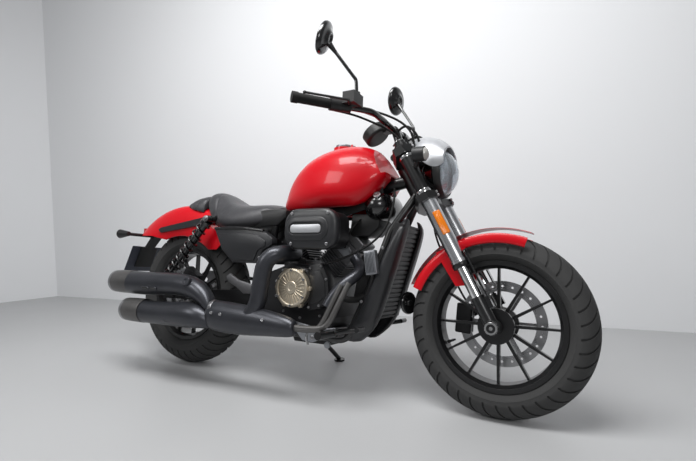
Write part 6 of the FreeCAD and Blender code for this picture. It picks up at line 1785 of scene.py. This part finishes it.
@dataclass
class FrameTrim:
    """Panels, covers and fittings that hang on the frame, with plain black blocks as painted shade where it
    is dark behind them.
    """

    neck_low: float = 0.058
    neck_high: float = 0.064
    plate_low: float = 0.150
    plate_high: float = 0.159
    fins: int = 7
    fin_gap: float = 0.0055

    NECK = (
        (0.690, 0.668), (0.690, 0.700), (0.860, 0.716), (0.936, 0.742), (0.972, 0.832), (1.004, 0.832),
        (1.014, 0.735), (0.962, 0.700), (0.850, 0.668),
    )
    # Painted shade: plain black blocks in the dark gaps under the seat, under the tank, at the rear cylinder
    # and behind the shroud; each with its name, half width, bevel and outline.
    SHADE_BLOCKS = (
        ("shade_block_under_seat", 0.112, 0.012, (
            (0.236, 0.640), (0.250, 0.622), (0.430, 0.622), (0.560, 0.634), (0.604, 0.668), (0.604, 0.700),
            (0.540, 0.704), (0.300, 0.690),
        )),
        ("shade_block_under_tank", 0.058, 0.006, (
            (0.872, 0.604), (0.884, 0.590), (0.962, 0.596), (0.996, 0.628), (1.000, 0.676), (0.880, 0.680),
        )),
        ("shade_block_at_rear_cylinder", 0.074, 0.006, (
            (0.572, 0.438), (0.600, 0.426), (0.680, 0.440), (0.684, 0.500), (0.640, 0.514), (0.580, 0.500),
        )),
        ("shade_block_behind_shroud", 0.070, 0.010, (
            (0.902, 0.360), (0.930, 0.344), (0.972, 0.360), (0.994, 0.500), (0.968, 0.536), (0.930, 0.520),
        )),
    )
    PEG_PLATE = (
        (0.700, 0.262), (0.748, 0.256), (0.812, 0.244), (0.884, 0.254), (0.888, 0.226), (0.838, 0.212),
        (0.786, 0.192), (0.742, 0.196), (0.712, 0.226),
    )

    def coil(self) -> None:
        """Turns the round cover under the tank's front, with its disc."""
        half = [(0.020, 0.100), (0.038, 0.088), (0.051, 0.068), (0.056, 0.046)]
        side = [(radius, -height) for radius, height in half]
        profile = [(0.0, -0.104), *side, *reversed(half), (0.0, 0.104)]
        turned("coil_cover", profile, UPRIGHT @ aimed(mm(990, 0, 706), LEFT), CHASSIS_GLOSS, 48, ROUND)
        turned("coil_cover_disc", [
            (0.0, -0.004), (0.0135, -0.004), (0.0150, 0.002), (0.0138, 0.0045), (0.0085, 0.0045),
            (0.0075, 0.0025), (0.0, 0.0025),
        ], UPRIGHT @ aimed(mm(1000, -92, 742), (0.1, -0.80, 0.59)), CHASSIS_STEEL, 32)

    def rectifier(self) -> None:
        """Sets the finned rectifier beside the radiator."""
        tilt = Matrix.Rotation(math.radians(-9.0), 4, "Y")
        place = UPRIGHT @ Matrix.Translation(mm(1006, -119, 492)) @ tilt @ STAND_UP
        settle(slab(oblong(0.044, 0.086, 0.004), 0.0, 0.024, 0.0016), "rectifier_box", place, CHASSIS_SILVER)
        outline = [(-0.0008, -0.036), (0.0008, -0.036), (0.0008, 0.036), (-0.0008, 0.036)]
        fin = slab(outline, 0.0, 0.007, 0.0003)
        across = [self.fin_gap * (index - self.fins // 2) for index in range(self.fins)]
        places = [place @ Matrix.Translation((x, 0.0, 0.023)) for x in across]
        repeat(fin, "rectifier_fin", places, CHASSIS_SILVER)

    def horn(self) -> None:
        """Turns the horn ahead of the radiator."""
        turned("horn", [
            (0.0, -0.020), (0.020, -0.020), (0.024, -0.014), (0.039, -0.010), (0.041, -0.004),
            (0.039, 0.002), (0.030, 0.004), (0.026, 0.001), (0.012, 0.001), (0.010, 0.006), (0.0, 0.007),
        ], UPRIGHT @ aimed(mm(1112, -26, 352), (0.95, -0.30, 0.05)), CHASSIS_GLOSS)

    def peg_plate(self) -> None:
        """Hangs the right peg's plate with its bolts, and the brake's rod."""
        plate = slab(self.PEG_PLATE, self.plate_low, self.plate_high, 0.0022)
        settle(plate, "right_peg_plate", facing(-1.0), CHASSIS_SILVER)
        places = spots([(722, -159, 244), (868, -159, 240), (786, -159, 210)], RIGHT)
        repeat(screw(Head.HEX, 0.0068), "peg_plate_bolt", places, CHASSIS_STEEL)
        rod = ((779, -176, 240), (776, -180, 222), (778, -182, 206), (783, -182, 186))
        run("brake_rod", rod, 0.0052, CHASSIS_CHROME)
        knob = [(0.0, -0.004), (0.010, -0.004), (0.0125, 0.002), (0.0115, 0.008), (0.0, 0.010)]
        turned("brake_rod_knob", knob, UPRIGHT @ aimed(mm(860, -166, 192), RIGHT), CHASSIS_SILVER, 24)

    def build(self) -> None:
        """Makes the pieces that hang on the frame."""
        for name, turn in SIDES:
            panel = slab(self.NECK, self.neck_low, self.neck_high, 0.0018)
            settle(panel, f"{name}_neck_panel", facing(turn), CHASSIS_PLASTIC)
        self.coil()
        self.rectifier()
        self.horn()
        # Painted shade: these black blocks fill the gaps where it is dark behind the other pieces.
        for name, half, soften, corners in self.SHADE_BLOCKS:
            settle(slab(corners, -half, half, soften), name, facing(-1.0), CHASSIS_PLASTIC)
        self.peg_plate()


@dataclass
class BodyTrim:
    """The side covers with their panels, rails and screws, the pivot brackets and the shocks' bolts."""

    middle: tuple[float, float] = (0.418, 0.548)
    panel_drop: float = 0.006
    rail_radius: float = 0.0070

    COVER = (
        (0.256, 0.622), (0.420, 0.622), (0.524, 0.610), (0.578, 0.578), (0.578, 0.552), (0.532, 0.532),
        (0.508, 0.476), (0.372, 0.476), (0.306, 0.530),
    )
    BRACKET = (
        (0.332, 0.418), (0.352, 0.430), (0.402, 0.404), (0.500, 0.384), (0.520, 0.352), (0.430, 0.350),
        (0.396, 0.372), (0.342, 0.396),
    )
    RAIL = ((262, 156, 620), (350, 160, 623), (440, 160, 620), (530, 158, 608))

    def side(self, name: str, turn: float) -> None:
        """Makes one side's trim.

        Args:
            name: the side's name.
            turn: -1 for the right side, or 1 for the left.
        """
        face = facing(turn)
        out = Vector((0.0, turn, 0.0))
        cover = settle(slab(self.COVER, 0.122, 0.160, 0.007), f"{name}_side_cover_shell", face, CHASSIS_GREY)
        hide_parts("side_covers")
        raised = [(x, z - self.panel_drop) for x, z in scaled(self.COVER, self.middle, 0.80, 0.78)]
        settle(slab(raised, 0.154, 0.1650, 0.0035), f"{name}_side_cover_panel", face, CHASSIS_GREY)
        line = [(x, turn * y, z) for x, y, z in self.RAIL]
        run(f"{name}_side_cover_rail", line, self.rail_radius, CHASSIS_GLOSS)
        settle(slab(self.BRACKET, 0.136, 0.148, 0.003), f"{name}_pivot_bracket", face, CHASSIS_CASTING)
        places = spots([(300, turn * 162, 590), (516, turn * 162, 500)], out)
        repeat(screw(Head.DOME, 0.0052), f"{name}_side_cover_screw", places, CHASSIS_STEEL)
        places = spots([(215, turn * 172, 664), (-42, turn * 172, 378)], out)
        repeat(screw(Head.HEX, 0.0100), f"{name}_shock_bolt", places, CHASSIS_STEEL)

    def build(self) -> None:
        """Makes the trim of both sides."""
        for name, turn in SIDES:
            self.side(name, turn)


@dataclass
class SteeringTrim:
    """The front indicators' lenses and the meter's bezel and glass."""

    indicator: tuple[float, float, float] = (1206, 158, 862)
    meter: tuple[float, float, float] = (946, 0, 1001)
    meter_tilt: float = 38.0
    meter_rise: float = 0.020

    def build(self) -> None:
        """Makes the trim that turns with the fork."""
        x, y, z = self.indicator
        for name, turn in SIDES:
            turned(f"{name}_front_indicator_lens", [
                (0.0, 0.013), (0.009, 0.0120), (0.0165, 0.0085), (0.0205, 0.0035), (0.0215, -0.002),
                (0.0195, -0.003), (0.0, -0.003),
            ], UPRIGHT @ aimed(mm(x, turn * y, z), X_AXIS), STEERING_PALE, 36, ROUND)
        tilt = math.radians(self.meter_tilt)
        up = Vector((-math.sin(tilt), 0.0, math.cos(tilt)))
        place = UPRIGHT @ aimed(mm(*self.meter) + up * self.meter_rise, up)
        turned("meter_bezel", [
            (0.0430, -0.002), (0.0500, -0.002), (0.0505, 0.0020), (0.0480, 0.0040), (0.0445, 0.0040),
            (0.0430, 0.0020),
        ], place, STEERING_CHROME, 56)
        glass = [(0.0, 0.0042), (0.020, 0.0038), (0.0425, 0.0018), (0.0435, -0.001), (0.0, -0.001)]
        turned("meter_glass", glass, place, STEERING_METER, 56, ROUND)


@dataclass
class View:
    """The camera, where the photographer stood."""

    stand: tuple[float, float, float] = (1.7070999, -1.5011999, 0.6757)
    yaw: float = 60.99
    pitch: float = -1.91
    roll: float = -1.74
    lens: float = 23.188
    sensor: float = 36.0

    def build(self) -> None:
        """Adds the camera and makes it the scene's own."""
        yaw, pitch, roll = (math.radians(angle) for angle in (self.yaw, self.pitch, self.roll))
        ahead = Vector((-math.cos(yaw) * math.cos(pitch), math.sin(yaw) * math.cos(pitch), math.sin(pitch)))
        across = ahead.cross(Z_AXIS).normalized()
        over = across.cross(ahead)
        right = across * math.cos(roll) + over * math.sin(roll)
        up = over * math.cos(roll) - across * math.sin(roll)
        data = bpy.data.cameras.new("photographer")
        data.sensor_width = self.sensor
        data.sensor_fit = "HORIZONTAL"
        data.lens = self.lens
        data.clip_start = 0.05
        camera = bpy.data.objects.new("photographer", data)
        bpy.context.scene.collection.objects.link(camera)
        turn = Matrix((right, up, -ahead)).transposed().to_4x4()
        camera.matrix_world = CENTRED @ Matrix.Translation(self.stand) @ turn
        bpy.context.scene.camera = camera


@dataclass(frozen=True)
class Softbox:
    """A soft lamp: its name, where it stands, its width and height, and its power in watts."""

    name: str
    spot: tuple[float, float, float]
    size: tuple[float, float]
    power: float

    def build(self, aim: Vector) -> None:
        """Adds the lamp, aimed at a point."""
        lamp = bpy.data.lights.new(self.name, "AREA")
        lamp.shape = "RECTANGLE"
        lamp.size, lamp.size_y = self.size
        lamp.energy = self.power
        holder = bpy.data.objects.new(self.name, lamp)
        bpy.context.scene.collection.objects.link(holder)
        turn = (aim - Vector(self.spot)).to_track_quat("-Z", "Y").to_matrix().to_4x4()
        holder.matrix_world = Matrix.Translation(self.spot) @ turn


SOFTBOXES = (
    Softbox("overhead_softbox", (0.1, -0.9, 2.9), (2.2, 0.9), 84.0),
    Softbox("front_softbox", (2.6, -3.4, 2.4), (1.4, 1.0), 30.0),
    Softbox("side_softbox", (-1.6, -2.4, 2.4), (1.2, 1.0), 22.0),
)


@dataclass
class Room:
    """The pale room around the machine: a floor, two walls and soft lamps."""

    corner: tuple[float, float] = (-2.745, 0.84)
    reach: float = 9.0
    back_turn: float = 6.9
    left_turn: float = -20.6
    sky: Colour = (0.94, 0.95, 0.97)
    sky_strength: float = 0.22

    def surface(self, name: str, colour: Colour, roughness: float, grain: float) -> bpy.types.Material:
        """Makes a painted wall's or floor's material, unseen from behind.

        Args:
            name: its name.
            colour: its colour.
            roughness: its roughness.
            grain: the size of its mottling, in metres.

        Returns:
            The material.
        """
        made = bpy.data.materials.new(name)
        made.use_nodes = True
        made.node_tree.nodes.clear()
        bench = Bench(made.node_tree)
        place = bench.node("ShaderNodeTexCoord").outputs["Object"]
        cloud = bench.noise(place, 1.0 / grain, 6.0)
        deep = tuple(channel * 0.94 for channel in colour)
        shader = bench.node(
            "ShaderNodeBsdfPrincipled",
            {
                "Base Color": bench.mix(cloud, deep, colour),
                "Roughness": bench.spread(cloud, 0.3, 0.7, roughness * 0.85, roughness * 1.15),
            },
        )
        clear = bench.node("ShaderNodeBsdfTransparent")
        cover = bench.node("ShaderNodeMixShader")
        behind = bench.node("ShaderNodeNewGeometry").outputs["Backfacing"]
        for socket, value in zip(cover.inputs, (behind, shader.outputs[0], clear.outputs[0])):
            bench.feed(socket, value)
        bench.node("ShaderNodeOutputMaterial", {"Surface": cover.outputs[0]})
        return made

    def plane(self, name: str, place: Matrix, material: bpy.types.Material) -> None:
        """Adds one large flat surface as part of the stage."""
        clear_selection()
        bpy.ops.mesh.primitive_plane_add(size=self.reach * 2.0)
        made = bpy.context.object
        made.name = name
        made.data.transform(place)
        made.data.materials.append(material)

    def build(self) -> None:
        """Adds the floor, the walls, the lamps and the light of the world."""
        floor = self.surface("painted_floor", (0.46, 0.465, 0.47), 0.42, 0.9)
        wall = self.surface("painted_wall", (0.80, 0.81, 0.825), 0.85, 2.5)
        corner = CENTRED @ Vector((*self.corner, 0.0))
        self.plane("floor", Matrix.Identity(4), floor)
        turn = Matrix.Rotation(math.radians(self.back_turn), 4, "Z")
        back = Matrix.Translation(corner + turn @ Vector((self.reach, 0.0, 0.0))) @ turn @ STAND_UP
        turn = Matrix.Rotation(math.radians(self.left_turn), 4, "Z")
        quarter = Matrix.Rotation(math.pi / 2.0, 4, "Z")
        left = Matrix.Translation(corner - turn @ Vector((0.0, self.reach, 0.0))) @ turn @ quarter @ STAND_UP
        self.plane("back_wall", back, wall)
        self.plane("left_wall", left, wall)
        for softbox in SOFTBOXES:
            softbox.build(Vector((0.0, 0.0, 0.5)))
        world = bpy.data.worlds.new("soft_room_light")
        bpy.context.scene.world = world
        world.use_nodes = True
        sky = world.node_tree.nodes["Background"]
        sky.inputs["Color"].default_value = (*self.sky, 1.0)
        sky.inputs["Strength"].default_value = self.sky_strength
        bpy.context.scene.view_settings.view_transform = "Standard"


def main() -> None:
    """Builds the sub-assemblies in order."""
    logging.basicConfig(level=logging.INFO, format="%(name)s: %(message)s")
    View().build()
    Room().build()
    dress_nodes()
    for wheel in (*TYRES, *HARDWARE):
        wheel.build()
    for assembly in (Headlight, Upholstery, Exhaust, Engine, AirCleaner, Shroud):
        assembly().build()
    run_leads()
    for assembly in (ForkTrim, FrameTrim, BodyTrim, SteeringTrim):
        assembly().build()


if __name__ == "__main__":
    main()
